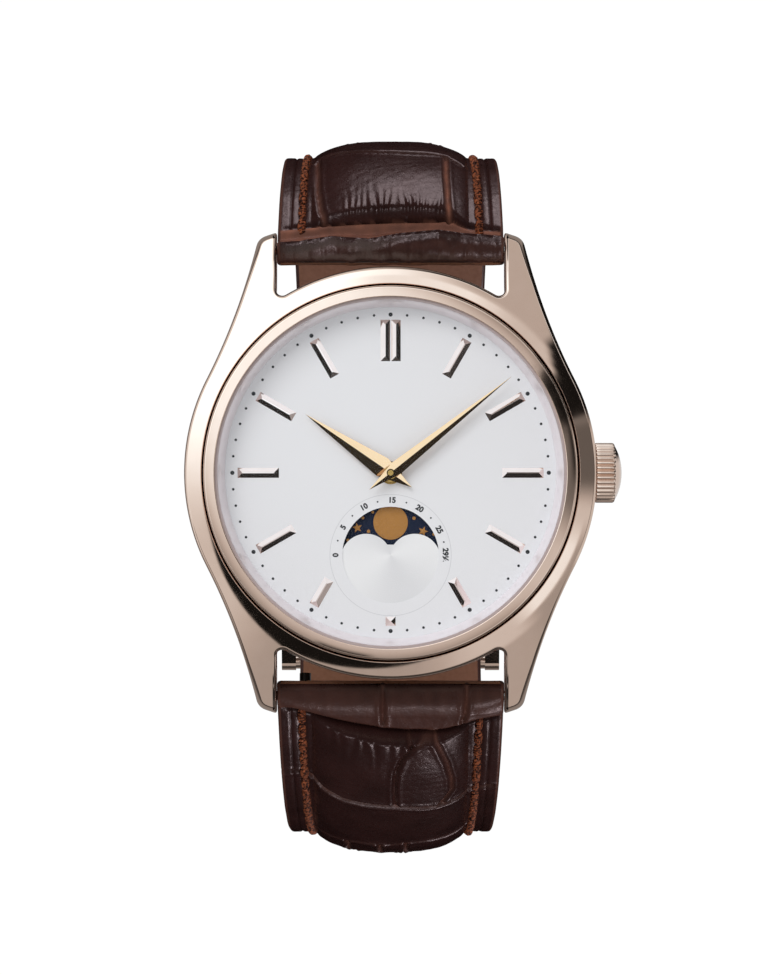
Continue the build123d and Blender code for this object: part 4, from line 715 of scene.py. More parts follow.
def makeBezel():
    values = bezelValues
    radius, inner, seat = values["radius"], values["inner"], values["seat"]
    shoulder, crest, (edgeIn, edgeUp) = values["shoulder"], values["crest"], values["seatEdge"]
    profile = [
        (inner, values["innerTop"]), (inner, values["skirtLow"]), (values["skirt"], values["skirtLow"]),
        (values["skirt"], seat), (radius - edgeIn, seat), (radius, seat + edgeUp), (radius, values["side"]),
    ]
    lean = radians(values["shoulderDeg"])
    profile += tangentArc(profile[-1], shoulder, (0, 1), 14)
    profile += tangentArc(shoulder, crest, (-cos(lean), sin(lean)), 22)
    profile += tangentArc(crest, (inner, crest[1] - values["crestRound"]), (-0.98, 0.14), 6)
    piece = lathePiece("bezel", profile, roseGold, 480)
    radii, leans = np.array(values["shown"]).T
    shadeTurned(
        piece, lambda reach, level: (reach > crest[0] - 0.01) & (level > values["side"] + 0.02),
        lambda reach: -np.tan(np.radians(np.interp(reach, radii, leans))),
    )
    return piece


def makeCrystal():
    values = crystalValues
    low, radius, reach, top = values["low"], values["radius"], values["domeRadius"], values["top"]
    profile = [(0, top), (0, low), (radius, low), (radius, values["side"]), (reach, top - values["dome"])]
    shares = [step / 40 for step in range(39, 0, -1)]
    profile += [(reach * share, top - values["dome"] * share ** 2) for share in shares]
    return lathePiece("crystal", profile, sapphire, 240)


fit(makeBezel(), "head", "rose_gold", "bezel")
crystal = fit(makeCrystal(), "head", "crystal", "crystal")
for ray in ("visible_shadow", "visible_diffuse", "visible_glossy"):
    setattr(crystal, ray, False)  # thin coated glass takes next to no light
fit(lathePiece("rehautRing", rehautProfile, satinRose, 480), "head", "rose_gold", "rehaut_ring")
print("bezel, crystal and rehaut ready")


# Crown with rounded flutes and a domed cap

def makeCrown():
    values = crownValues
    start, radius, chamfer = values["start"], values["radius"], values["chamfer"]
    end, hollowEnd, capRadius = start + values["fluted"], start + values["hollowDepth"], radius - chamfer
    stations = [  # x, radius, share of the flute's depth
        (hollowEnd, 0.0, 0), (hollowEnd, values["hollow"], 0), (start, values["hollow"], 0),
        (start, capRadius, 0),
    ]
    for turn in quarterTurns(4):
        stations.append((start + chamfer * (1 - cos(turn)), radius - chamfer * (1 - sin(turn)), sin(turn)))
    for step in range(1, 5):
        stations.append((start + chamfer + (values["fluted"] - 2 * chamfer) * step / 4, radius, 1))
    for turn in quarterTurns(4, 1):
        stations.append((end - chamfer * (1 - sin(turn)), radius - chamfer * (1 - cos(turn)), cos(turn)))
    for share in (1 - step / 14 for step in range(1, 15)):
        stations.append((end + values["cap"] * (1 - share ** 2.2), capRadius * share, 0))
    columns = values["flutes"] * 12
    points = []
    for x, size, share in stations:
        for turn in fullTurns(columns):
            wave = 0.5 - 0.5 * cos(values["flutes"] * turn)
            reach = size - values["depth"] * share * wave ** 1.6
            points.append((x, reach * cos(turn), values["stem"] + reach * sin(turn)))
    return makePiece("crown", points, bandFaces(len(stations), columns), roseGold, 38, 0.001)


fit(makeCrown(), "crown", "rose_gold", "crown")
print("crown ready")


# Print on the dial: minute dots and the moon sub-dial's figures, and a grey ring of painted shade

def makeMinuteDots():
    # Flat round dots on a circle, larger at every fifth place
    values = dialValues
    tree, given = startTree("minuteDots", {
        "Circle radius": "Float", "Count": "Int", "Small dot": "Float", "Large dot": "Float",
        "Thickness": "Float", "Level": "Float",
    })
    circle = addNode(tree, "GeometryNodeMeshCircle", [given["Count"], given["Circle radius"]])
    lifted = addNode(tree, "ShaderNodeCombineXYZ", {"Z": given["Level"]})
    moved = addNode(tree, "GeometryNodeTransform", {"Geometry": circle, "Translation": lifted})
    index = addNode(tree, "GeometryNodeInputIndex")
    fifth = addNode(tree, "ShaderNodeMath", [index, 5.0], operation="MODULO")
    isFifth = addNode(tree, "FunctionNodeCompare", [fifth, 0.5], data_type="FLOAT", operation="LESS_THAN")
    choice = [isFifth, given["Small dot"], given["Large dot"]]
    size = addNode(tree, "GeometryNodeSwitch", choice, input_type="FLOAT")
    scale = addNode(tree, "ShaderNodeCombineXYZ", [size, size, given["Thickness"]])
    dot = addNode(tree, "GeometryNodeMeshCylinder", {"Vertices": 20, "Radius": 1.0, "Depth": 1.0})
    spots = {"Points": moved, "Instance": dot, "Scale": scale}
    endTree(tree, addNode(tree, "GeometryNodeInstanceOnPoints", spots), printInk)
    return applyTree(makePiece("minuteDots", [(0, 0, 0)], [], printInk), tree, {
        "Circle radius": values["dotCircle"] * mm, "Count": 60, "Small dot": values["smallDot"] * mm,
        "Large dot": values["largeDot"] * mm, "Thickness": values["print"] * mm,
        "Level": (values["top"] + values["print"] / 2) * mm,
    })


def textPiece(text, size, place, turn, material):
    curve = bpy.data.curves.new("figure", "FONT")
    curve.body = text
    curve.size = size * mm
    curve.align_x = curve.align_y = "CENTER"
    curve.extrude = dialValues["print"] / 2 * mm
    curve.offset = 0.03 * mm
    holder = linkPiece("figure", curve)
    mesh = bakedMesh(holder)
    bpy.data.objects.remove(holder)
    mesh.transform(Matrix.Translation(Vector(place) * mm) @ Matrix.Rotation(turn, 4, "Z"))
    mesh.materials.clear()
    mesh.materials.append(material)
    return linkPiece("figure", mesh)


def makeMoonFigures():
    # The days of the moon's age on the upper half circle, a dot between each two
    values = dialValues
    pieces = []

    def spot(angle):
        reach, level = values["figureCircle"], values["top"] + values["print"] / 2
        return (reach * cos(angle), values["moonCentre"] + reach * sin(angle), level)
    for index, day in enumerate(values["days"]):
        count = min(5 * index, values["moonDays"])
        angle = pi - count * pi / values["moonDays"]
        pieces.append(textPiece(day, values["figureHeight"], spot(angle), angle - pi / 2, printInk))
        if index < 6:
            after = spot(pi - (count + min(count + 5, values["moonDays"])) / 2 * pi / values["moonDays"])
            pieces.append(roundPlate("dot", after, values["dayDot"], values["print"], 14, printInk))
    return joinPieces("moonFigures", pieces)


def makeRingLine():
    # Painted shade: a thin grey ring standing in for the shaded edge of the sub-dial's embossed step
    values = dialValues
    inner, outer = (values["ringLine"] + side * values["ringWidth"] / 2 for side in (-1, 1))
    low, high = values["top"], values["top"] + values["print"] / 2
    profile = [(inner, low), (outer, low), (outer, high), (inner, high)]
    return lathePiece("moonRingLine", profile, ringShade, 240, values["moonCentre"])


moonValues = {
    "level": 4.95, "orbit": 2.83, "moonRadius": 1.5, "thickness": 0.03, "lift": 0.015, "starWaist": 0.42,
    "stars": [  # (x, y from the disc's middle, size, turn in degrees); under 0.2 it is a dot
        (-2.9, 2.37, 0.46, 10), (2.83, 2.06, 0.46, -20), (-1.55, 3.72, 0.12, 0), (-2.41, 3.22, 0.13, 0),
        (-1.92, 2.06, 0.15, 0), (-3.7, 1.27, 0.15, 0), (2.04, 3.2, 0.15, 0), (3.77, 1.8, 0.14, 0),
    ],
}


def starPiece(centre, size, turn):
    x, y, z = centre
    half = moonValues["thickness"] / 2
    points = []
    for level in (z - half, z + half):
        for corner in range(10):
            reach = size if corner % 2 == 0 else size * moonValues["starWaist"]
            angle = turn + pi / 2 + 2 * pi * corner / 10
            points.append((x + reach * cos(angle), y + reach * sin(angle), level))
    points.append((x, y, z + half + size * 0.06))
    faces = [tuple(reversed(range(10)))] + bandFaces(2, 10)
    faces += [(corner + 10, (corner + 1) % 10 + 10, 20) for corner in range(10)]
    return makePiece("star", points, faces, moonFoil)


def makeMoonArt():
    # Two moons and their stars, half a turn apart
    values = moonValues
    level = values["level"] + values["thickness"] / 2
    middle = dialValues["moonCentre"]
    pieces = []
    for side in (1, -1):
        spot = (0, middle + side * values["orbit"], level)
        thickness = values["thickness"]
        pieces.append(roundPlate("moon", spot, values["moonRadius"], thickness, 96, moonFoil, values["lift"]))
        for x, y, size, turn in values["stars"]:
            spot = (side * x, middle + side * y, level)
            if size > 0.2:
                pieces.append(starPiece(spot, size, radians(turn) + (0 if side == 1 else pi)))
            else:
                pieces.append(roundPlate("dot", spot, size, thickness, 12, moonFoil))
    return joinPieces("moonArt", pieces)


for piece in (makeMinuteDots(), makeMoonFigures(), makeRingLine()):
    fit(piece, "head", "dial_white")
fit(makeMoonArt(), "moon_disc", "moon_blue")
print("dial print and moon ready")


# Strap: the middle line's arcs and runs, seen from the side, outwards and up

strapValues = {
    "barReach": 19.55, "barHeight": 2.0, "noseRadius": 1.3, "half": 1.1, "lining": 0.9,
    "shortLeave": 36.0, "longLeave": 36.9, "buckleReach": 7.5, "tailGap": 0.4,
    "shortArcs": [(20.0, 54.0), (30.0, 50.0), (12.0, 40.0)], "longArcs": [(32.5, 53.1), (16.0, 68.0)],
    "slopeDeg": 22.0, "slopeRadius": 20.0, "tailSweeps": (40.0, 12.0),  # radius and sweep of each arc
    "topHalf": 9.96, "shortHalf": 9.0, "longHalf": 8.75, "tipHalf": 8.1, "tipLength": 7.0, "tipFlat": 0.15,
    "edge": 0.32, "edgeWear": 0.25, "seam": [(0.02, 0.12), (0.1, 0.0), (0.02, -0.12)], "padHalf": 6.9,
    "buckleNose": 1.2, "tongueSlot": (1.5, 1.9), "taperPast": 2.2,
    "holeBack": 2.3, "holePitch": 6.5, "holeRadius": 0.85, "holeStretch": 0.4, "holesAt": range(-2, 5),
    "holeDepths": (-2.5, 3.0), "nearStep": 0.1, "farStep": 0.34,  # steps of the mesh along the strap
}


def walkLegs(start, heading, legs, distance):
    point = np.array(start, float)
    for kind, size, sweep in legs:
        length = size if kind == "run" else size * radians(sweep)
        share = min(1.0, distance / length)
        if kind == "run":
            point = point + size * share * np.array([cos(radians(heading)), sin(radians(heading))])
        else:
            before, after = radians(heading + 90), radians(heading + 90 - sweep * share)
            point = point + size * np.array([cos(after) - cos(before), sin(after) - sin(before)])
            heading = heading - sweep * share
        distance = distance - length
        if distance <= 0:
            break
    return point, heading


def legLength(legs):
    return sum(size if kind == "run" else size * radians(sweep) for kind, size, sweep in legs)


def legsEnd(heading, legs):
    return walkLegs(barPlace, heading, legs, legLength(legs))[0]


barPlace = (strapValues["barReach"], strapValues["barHeight"])
shortHeading, longHeading = -strapValues["shortLeave"], -strapValues["longLeave"]
shortLegs = [("arc", *arc) for arc in strapValues["shortArcs"]]
levelStart, shortLevel = legsEnd(shortHeading, shortLegs)
shortLegs.append(("run", levelStart + strapValues["buckleReach"] + strapValues["buckleNose"], 0))
tailOffset = 2 * strapValues["half"] + strapValues["tailGap"]
tailLevel = shortLevel - tailOffset
longLegs = [("arc", *arc) for arc in strapValues["longArcs"]]
slopeTop = legsEnd(longHeading, longLegs)[1]
slopeRadius, slopeDeg = strapValues["slopeRadius"], strapValues["slopeDeg"]
slopeDrop = slopeTop - tailLevel - slopeRadius * (1 - cos(radians(slopeDeg)))
longLegs += [("run", slopeDrop / sin(radians(slopeDeg)), 0), ("arc", slopeRadius, slopeDeg)]
tailStart = legsEnd(longHeading, longLegs)[0]
tailFrom = legLength(longLegs)
tongueAt = tailFrom - strapValues["holeBack"]
longLegs.append(("run", tailStart + levelStart, 0))
for (radius, _), sweep in zip(reversed(strapValues["shortArcs"]), strapValues["tailSweeps"]):
    longLegs.append(("arc", radius + tailOffset, sweep))
tipLevel = legsEnd(longHeading, longLegs)[1]


def taperedHalf(height, level, lowHalf):
    top = strapValues["barHeight"] + strapValues["noseRadius"]
    share = (top - height) / (top - level + strapValues["taperPast"])
    return strapValues["topHalf"] + share * (lowHalf - strapValues["topHalf"])


def tailHalf(height):
    # Half width of the tail, ending in a round tip
    values = strapValues
    past, flat = values["taperPast"], values["tipFlat"]
    tipStart = tipLevel - values["tipLength"]
    sag = values["tipLength"] - flat
    radius = (values["tipHalf"] ** 2 + sag ** 2) / (2 * sag)
    if height > tipStart:
        lift = height - (tipLevel - flat - radius)
        return sqrt(max(radius ** 2 - lift ** 2, 0.01))
    share = (height - tailLevel + past) / (tipStart - tailLevel + past)
    return values["longHalf"] + share * (values["tipHalf"] - values["longHalf"])


def shortHalf(distance, point):
    return taperedHalf(point[1], shortLevel, strapValues["shortHalf"])


def longHalf(distance, point):
    if distance > tailFrom + 1:
        return tailHalf(point[1])
    return taperedHalf(point[1], tailLevel, strapValues["longHalf"])


def lineDistance(across, along, line):
    # Distance in mm from each surface point to a polyline of (across, along)
    best = np.full(across.shape, 1e9)
    for (x0, s0), (x1, s1) in zip(line, line[1:]):
        dx, ds = x1 - x0, s1 - s0
        share = np.clip(((across - x0) * dx + (along - s0) * ds) / (dx * dx + ds * ds), 0, 1)
        best = np.minimum(best, np.hypot(across - x0 - share * dx, along - s0 - share * ds))
    return best


def smoothRandom(across, along, size, seed):
    # Soft bumps between -1 and 1, about size mm apart
    made = np.random.default_rng(seed)
    total = np.zeros(across.shape)
    for _ in range(14):
        angle, phase = made.uniform(0, 2 * pi, 2)
        rate = 2 * pi / (size * made.uniform(0.7, 1.5))
        total += np.sin(rate * (across * cos(angle) + along * sin(angle)) + phase)
    return total / 7


def scaleLines(values, halfAt, made):
    # Alligator scales further down the strap: cross lines with short lines between them
    lines = []
    along = values["scalesFrom"]
    while along < values["scalesTo"]:
        reach = halfAt(along) - 2.6
        tilt = made.uniform(-0.5, 0.5)
        xs = np.linspace(-reach, reach, 9)
        waves = made.uniform(-0.25, 0.25, 9)
        lines.append([(float(x), along + tilt * x / reach + float(w)) for x, w in zip(xs, waves)])
        following = along + values["scaleLength"] * made.uniform(0.85, 1.15)
        for share in made.permutation(np.linspace(-0.55, 0.55, 4))[:made.integers(2, 4)]:
            x = float(share * reach + made.uniform(-0.4, 0.4))
            bend = made.uniform(-0.5, 0.5)
            middle = (x + bend, (along + following) / 2)
            lines.append([(x, along + 0.2), middle, (x + bend / 2, following - 0.2)])
        along = following
    return lines


# Places on the leather are (across, along) in mm; lines carry how far their dye is rubbed first
upperLeather = {
    "padStart": [
        (-11, 1.2), (-7.9, 1.75), (-5.8, 2.05), (-1.2, 2.4), (4.2, 2.6), (5.2, 2.65), (6.8, 1.85), (11, 1.2),
    ],
    "padRise": 1.5, "padFront": 0.4, "padHold": 18.85, "padEnd": 39.8,
    "collar": 0.15, "foldDepth": 0.3, "foldWidth": 0.3,
    "ridge": [
        (-11, -0.65), (-7.9, -0.55), (-5.2, -0.1), (-1.9, -0.35), (0.8, 0.2), (4.2, 0.6), (6.2, 0.25),
        (11, -0.05),
    ],
    "ridgeHeight": 0.7, "ridgeWidth": 0.32, "valley": 0.5,
    "lines": [
        (0.8, [(4.92, 11.4), (4.93, 7.55), (5.03, 4.2), (5.15, 2.4)]),
        (0.35, [(-6.6, 12.2), (-6.48, 6.1), (-6.17, 3.2), (-5.83, 2.0)]),
        (0.15, [(-6.46, 12.65), (-3.97, 12.35), (-1.21, 11.5), (1.55, 11.3), (4.3, 11.65), (6.33, 11.0)]),
    ],
    "lineDepth": 0.32, "lineWidth": 0.21, "scalesFrom": 17.5, "scalesTo": 62.0, "scaleLength": 5.2,
    "wrinkleReach": 0.8, "wrinkleDepth": 0.1, "wrinkleStep": 0.62, "wrinkleSpan": (-4.5, 5.0),
    "farWrinkleFrom": 11.2, "farWrinkleReach": -0.9, "seed": 5, "noseWear": 0.66, "faceWear": 0.1,
    "creases": 0.12, "ragged": 0.12, "lipShade": 1.3,
}
lowerLeather = {
    "padStart": [
        (-11, 0.4), (-8.5, 0.5), (-6.4, 1.0), (-3.6, 1.9), (-0.8, 2.5), (1.3, 2.7), (3.4, 2.75), (4.8, 2.65),
        (6.2, 2.2), (7.6, 1.75), (11, 1.3),
    ],
    "padRise": 1.9, "padFront": 0.7, "padHold": 30.1, "padEnd": 46.9,
    "collar": 0.75, "foldDepth": 0.75, "foldWidth": 0.27,
    "ridge": [(-11, -1.6), (11, -1.6)], "ridgeHeight": 0.0, "ridgeWidth": 0.4, "valley": 0.0,
    "lines": [
        (0.3, [(-0.68, -1.2), (-0.65, 1.6)]), (0.35, [(6.7, -1.2), (6.55, 0.6), (6.3, 1.6)]),
        (0.1, [(1.59, 2.9), (1.88, 3.75), (1.03, 4.85), (0.48, 6.5), (0.34, 8.95), (0.42, 11.2)]),
        (0.15, [(1.88, 3.75), (2.9, 3.1), (3.83, 2.9)]),
        (0.3, [(3.83, 2.8), (4.26, 3.75), (4.99, 6.0), (5.45, 8.45), (5.48, 10.2), (4.91, 11.2),
               (4.4, 11.9)]),
        (0.45, [(-7.49, 9.0), (-6.08, 10.2), (-4.37, 10.9), (-2.23, 11.3), (0.63, 11.6), (3.49, 12.05),
                (5.36, 12.05), (6.36, 11.9), (9.07, 11.1)]),
        (0.2, [(-10.3, 9.3), (-9.0, 8.7), (-8.2, 8.8)]),
    ],
    "lineDepth": 0.34, "lineWidth": 0.18, "scalesFrom": 20.5, "scalesTo": 92.0, "scaleLength": 5.4,
    "wrinkleReach": 1.5, "wrinkleDepth": 0.08, "wrinkleStep": 1.05, "wrinkleSpan": (-6.0, 2.5),
    "farWrinkleFrom": 12.4, "farWrinkleReach": 1.0, "seed": 11, "noseWear": 0.14, "faceWear": 0.0,
    "creases": 0.0, "ragged": 0.05, "lipShade": 0.0,
}


skinValues = {  # heights and depths come first, then the place and the width
    "padPowers": (2.6, 0.75), "noseEase": 0.9, "bank": (0.07, 0.42, 0.2), "foldWear": 0.3, "scaleWear": 0.4,
    "pleatShift": 0.35, "pleatChange": 0.6, "farPleats": 0.04, "creaseStep": 1.25,
    "edgeLine": (0.13, 1.1, 0.1), "stitchGroove": (0.2, 2.1, 0.3),
    "bumps": (0.05, 4.5), "grain": (0.012, 0.9),
}


def bell(gap, width):
    # 1 in the middle, fading within about twice the width
    return np.exp(-(gap / width) ** 2)


def rise(value, width):
    # 0 up to 1 while value grows to width
    return np.clip(value / width, 0, 1)


def leatherRelief(across, along, half, leather, halfAt):
    # Height over the strap's flat top, and how far the dye is rubbed with a painted shade below 0, at each
    # surface point
    values, skin, seed = strapValues, skinValues, leather["seed"]
    nose = np.sqrt(np.maximum(values["noseRadius"] ** 2 - along ** 2, 0))
    flat = values["half"] + (values["noseRadius"] - values["half"]) * bell(along, skin["noseEase"])
    base = np.where(along >= 0, flat, nose)

    # The pad with its front edge, the collar before it and the folded lip
    start = np.interp(across, *np.array(leather["padStart"]).T)
    flank, swell = skin["padPowers"]
    padShape = np.maximum(1 - np.abs(across / values["padHalf"]) ** flank, 0) ** swell
    ramp = np.sqrt(1 - (1 - rise(along - start, leather["padFront"])) ** 2)
    fade = rise(along - leather["padHold"], leather["padEnd"] - leather["padHold"])
    height = leather["padRise"] * padShape * ramp * (1 - fade ** 2 * (3 - 2 * fade))
    wide = np.maximum(1 - np.abs(across / half) ** 6, 0)
    height += leather["collar"] * rise(along + skin["noseEase"], 1.6) * rise(start - along, 0.25) * wide
    height -= leather["foldDepth"] * bell(along - start, leather["foldWidth"]) * wide
    ridge = np.interp(across, *np.array(leather["ridge"]).T)
    height += leather["ridgeHeight"] * bell(along - ridge, leather["ridgeWidth"])
    height -= leather["valley"] * bell(along - (ridge + start) / 2 - 0.1, 0.55)
    wear = skin["foldWear"] * bell(along - start, leather["foldWidth"] * 1.2) * (along < start - 0.05)
    wear += leather["faceWear"] * rise(ridge - 0.25 - along, 0.3)
    wear += leather["noseWear"] * rise(along - ridge - 0.3, 0.3) * rise(start - along, 0.2)
    # Painted shade: a dark line just behind the lip's ridge, where the fold throws shade
    wear -= leather["lipShade"] * bell(along - ridge - 0.12, 0.24)

    # Scale lines, each with a low bank beside it
    scales = [(skin["scaleWear"], line) for line in scaleLines(leather, halfAt, np.random.default_rng(seed))]
    bankHeight, bankAt, bankWidth = skin["bank"]
    for shade, line in leather["lines"] + scales:
        span = [point[1] for point in line]
        rows = (along > min(span) - 1.2) & (along < max(span) + 1.2)
        gap = np.full(along.shape, 9.0)
        gap[rows] = lineDistance(across[rows], along[rows], line)
        groove = bell(gap, leather["lineWidth"])
        height += bankHeight * bell(gap - bankAt, bankWidth) - leather["lineDepth"] * groove
        wear = np.maximum(wear, shade * groove)

    # Fine wrinkles behind the pad's front and before the first cross line, creases on the lip
    low, high = leather["wrinkleSpan"]
    inSpan = rise(across - low, 0.8) * rise(high - across, 0.8)
    shift = skin["pleatShift"] * smoothRandom(across, along * 0.3, 1.7, seed + 1)
    pleats = np.sin(2 * pi * (across + shift) / leather["wrinkleStep"]) * inSpan
    change = 1 + skin["pleatChange"] * smoothRandom(across, along * 0.1, 2.3, seed + 2)
    decay = np.exp(-np.maximum(along - start - 0.35, 0) / leather["wrinkleReach"]) * (along > start)
    far = rise(along - leather["farWrinkleFrom"], leather["farWrinkleReach"])
    far = np.where(far > 0, np.exp(-far * 3) * rise(far, 1 / 8), 0)
    height += pleats * (leather["wrinkleDepth"] * change * decay + skin["farPleats"] * far)
    folds = np.clip(np.sin(2 * pi * (across + shift) / skin["creaseStep"]), 0.3, 1)
    height -= leather["creases"] * folds * rise(ridge - 0.2 - along, 0.4)

    # A pressed line and the stitches' groove along the edge, and an uneven skin
    for key, share in (("edgeLine", along > start), ("stitchGroove", rise(along - start, 1))):
        depth, inset, width = skin[key]
        height -= depth * bell(half - np.abs(across) - inset, width) * share
    for key, share, step in (("bumps", rise(along, 1), 3), ("grain", 1, 4)):
        size, spacing = skin[key]
        height += size * smoothRandom(across, along, spacing, seed + step) * share
    fine = 0.5 + 0.5 * smoothRandom(across, along, 1.3, seed + 6)
    return base + height, np.clip(wear * (0.65 + 0.5 * fine), -1, 1)


def strapStations(length, dense, endNose):
    nose = [-strapValues["noseRadius"] * cos(turn) for turn in quarterTurns(12)]
    near = list(np.arange(strapValues["nearStep"], dense, strapValues["nearStep"]))
    far = list(np.arange(dense, length - endNose, strapValues["farStep"]))
    return nose + near + far + [length - endNose * (1 - sin(turn)) for turn in quarterTurns(8)]


def makeStrapMesh(name, side, heading, legs, halfFor, leather, dense, endNose=0.05, columns=168):
    # Rings of points along the middle line: the leather's top, one edge, the lining, the other edge
    values = strapValues
    length = legLength(legs)
    stations = np.array(strapStations(length, dense, endNose))
    count = len(stations)
    lean = np.array([cos(radians(heading)), sin(radians(heading))])
    spots = []
    for station in stations:
        point, turn = walkLegs(barPlace, heading, legs, max(station, 0.0))
        point = point + min(station, 0.0) * lean
        spots.append((point, turn, halfFor(station, point)))
    halfs = np.array([half for _, _, half in spots])
    edge = np.minimum(values["edge"], halfs * 0.4)
    across = np.linspace(-1, 1, columns)[None, :] * (halfs - edge)[:, None]
    along = np.repeat(stations[:, None], columns, axis=1)
    top, wear = leatherRelief(
        across, along, np.repeat(halfs[:, None], columns, axis=1), leather,
        lambda place: float(np.interp(place, stations, halfs)),
    )
    bottom = np.where(
        stations < 0, -np.sqrt(np.maximum(values["noseRadius"] ** 2 - stations ** 2, 0)),
        -values["half"] - (values["noseRadius"] - values["half"]) * bell(stations, skinValues["noseEase"]),
    )
    closing = np.sqrt(1 - np.clip((stations - length + endNose) / endNose, 0, 0.999) ** 2)
    bottom = bottom * closing
    top = top * closing[:, None]
    thick = np.minimum(1, (top[:, 0] - bottom) / 1.2)
    rows = [(across[:, column], top[:, column], wear[:, column], 0) for column in range(columns)]

    def addSide(sign):
        block = []
        edgeTop = top[:, -1] if sign > 0 else top[:, 0]
        reaches = [
            (halfs - edge + edge * sin(turn), edge * thick * (1 - cos(turn))) for turn in quarterTurns(4, 1)
        ]
        for reach, drop in reaches:
            block.append((reach, edgeTop - drop, 0))
        seam = bottom + values["lining"] * thick
        for inset, lift in values["seam"]:
            block.append((halfs - inset, seam + lift * thick, 2))
        for reach, drop in reversed(reaches):
            block.append((reach, bottom + drop, 2))
        for reach, offset, kind in block[::sign]:
            rows.append((sign * reach, offset, np.full(count, values["edgeWear"]), kind))
    addSide(1)
    for place in np.linspace(1, -1, 26):
        rows.append((place * (halfs - edge), bottom, np.zeros(count), 1))
    addSide(-1)
    ringSize = len(rows)
    points = np.zeros((count, ringSize, 3))
    for column, (x, offset, _, _) in enumerate(rows):
        for index, (point, turn, _) in enumerate(spots):
            out = radians(turn + 90)
            reach, level = point[0] + offset[index] * cos(out), point[1] + offset[index] * sin(out)
            points[index, column] = (x[index], side * reach, level)
    faces = bandFaces(count, ringSize)
    last = (count - 1) * ringSize
    faces += [tuple(range(ringSize)), tuple(reversed(range(last, last + ringSize)))]
    ringKinds = [0] * (columns - 1)
    for column in range(columns - 1, ringSize):
        ringKinds.append(max(rows[column][3], rows[(column + 1) % ringSize][3]))
    mesh = bpy.data.meshes.new(name)
    mesh.from_pydata((points.reshape(-1, 3) * mm).tolist(), [], faces)
    for material in (calf, liningCalf, edgePaint):
        mesh.materials.append(material)
    mesh.polygons.foreach_set("material_index", ringKinds * (count - 1) + [0, 0])
    layer = mesh.attributes.new("wear", "FLOAT", "POINT")
    layer.data.foreach_set("value", np.column_stack([row[2] for row in rows]).reshape(-1))
    faceOutwards(mesh, 0.0008)
    smoothFaces(mesh, 50)
    return linkPiece(name, mesh), (stations, spots, across, top)


def roughenNose(piece, side, heading, leather):
    # The folded end over the spring bar isn't quite straight
    place = pointsOf(piece.data)
    lean = np.array([side * cos(radians(heading)), sin(radians(heading))])
    away = place[:, 1:] - np.array([side * barPlace[0], barPlace[1]])
    radius = strapValues["noseRadius"]
    share = rise(-(away @ lean), radius) * (np.hypot(*away.T) < 2 * radius)
    bumps = smoothRandom(place[:, 0], np.zeros(len(place)), 1.9, leather["seed"] + 7)
    place[:, 1:] += (leather["ragged"] * share * bumps)[:, None] * lean
    piece.data.vertices.foreach_set("co", (place * mm).reshape(-1))


def cutHoles(piece, side, heading, legs):
    # The long slots that the buckle's tongue goes through
    values = strapValues
    cutters = []
    for step in values["holesAt"]:
        (reach, level), turn = walkLegs(barPlace, heading, legs, tongueAt + step * values["holePitch"])
        ahead = Vector((0, side * cos(radians(turn)), sin(radians(turn))))
        out = Vector((0, side * cos(radians(turn + 90)), sin(radians(turn + 90))))
        points = []
        for depth in values["holeDepths"]:
            for angle in (turnStep + pi / 28 for turnStep in fullTurns(28)):
                long = values["holeRadius"] * cos(angle)
                long += values["holeStretch"] if cos(angle) > 0 else -values["holeStretch"]
                spot = Vector((values["holeRadius"] * sin(angle), side * reach, level))
                points.append(spot + ahead * long + out * depth)
        cutters.append(makePiece("holeCutter", points, tubeFaces(2, 28), edgePaint, mergeMm=0.0001))
    subtract(piece, joinPieces("holeCutter", cutters), "MANIFOLD")


shortStrap, shortShape = makeStrapMesh(
    "shortStrap", 1, shortHeading, shortLegs, shortHalf, upperLeather, 22.0, strapValues["buckleNose"]
)
slotRadius, slotWidth = strapValues["tongueSlot"]
slotAt = (0, -strapValues["buckleReach"], shortLevel)
subtract(shortStrap, roundCutter(slotRadius, slotWidth, slotAt, edgePaint), "MANIFOLD")
roughenNose(shortStrap, 1, shortHeading, upperLeather)
print("short strap ready,", len(shortStrap.data.polygons), "faces")
longStrap, longShape = makeStrapMesh("longStrap", -1, longHeading, longLegs, longHalf, lowerLeather, 24.0)
cutHoles(longStrap, -1, longHeading, longLegs)
roughenNose(longStrap, -1, longHeading, lowerLeather)
print("long strap ready,", len(longStrap.data.polygons), "faces")
fit(shortStrap, "short_strap", "strap_leather", "short_strap_upper", "short_strap_lining")
fit(longStrap, "long_strap", "strap_leather", "long_strap_upper", "long_strap_lining")


# Stitching along both edges of each strap half

stitchValues = {
    "inset": 2.1, "pitch": 1.9, "length": 1.84, "ply": 0.19, "twist": 0.19, "lift": 0.06, "seed": 4,
    "shortRows": (1.9, 1.8, 60.0), "longRows": (1.4, 2.2, 90.0), "turns": 3.0, "rise": 0.12, "dip": 0.3,
    "sizeChange": 0.06,
}  # rows: where the left and the right row start and where both end


def makeStitch():
    # One stitch: two plies twisted round each other, its ends dipping into the leather
    values = stitchValues
    points, faces = [], []
    stationCount, corners = 26, 7
    for ply in range(2):
        faces += tubeFaces(stationCount, corners, len(points))
        for share in (station / (stationCount - 1) for station in range(stationCount)):
            turn = 2 * pi * values["turns"] * share + pi * ply
            dip = (2 * share - 1) ** 4
            y = values["twist"] * cos(turn) * (1 - 0.5 * dip)
            z = values["twist"] * sin(turn) + values["rise"] * (1 - dip) - values["dip"] * dip
            size = values["ply"] * (1 - 0.35 * dip)
            x = (share - 0.5) * values["length"]
            points += [(x, y + size * cos(angle), z + size * sin(angle)) for angle in fullTurns(corners)]
    return makePiece("stitch", points, faces, thread, 60)


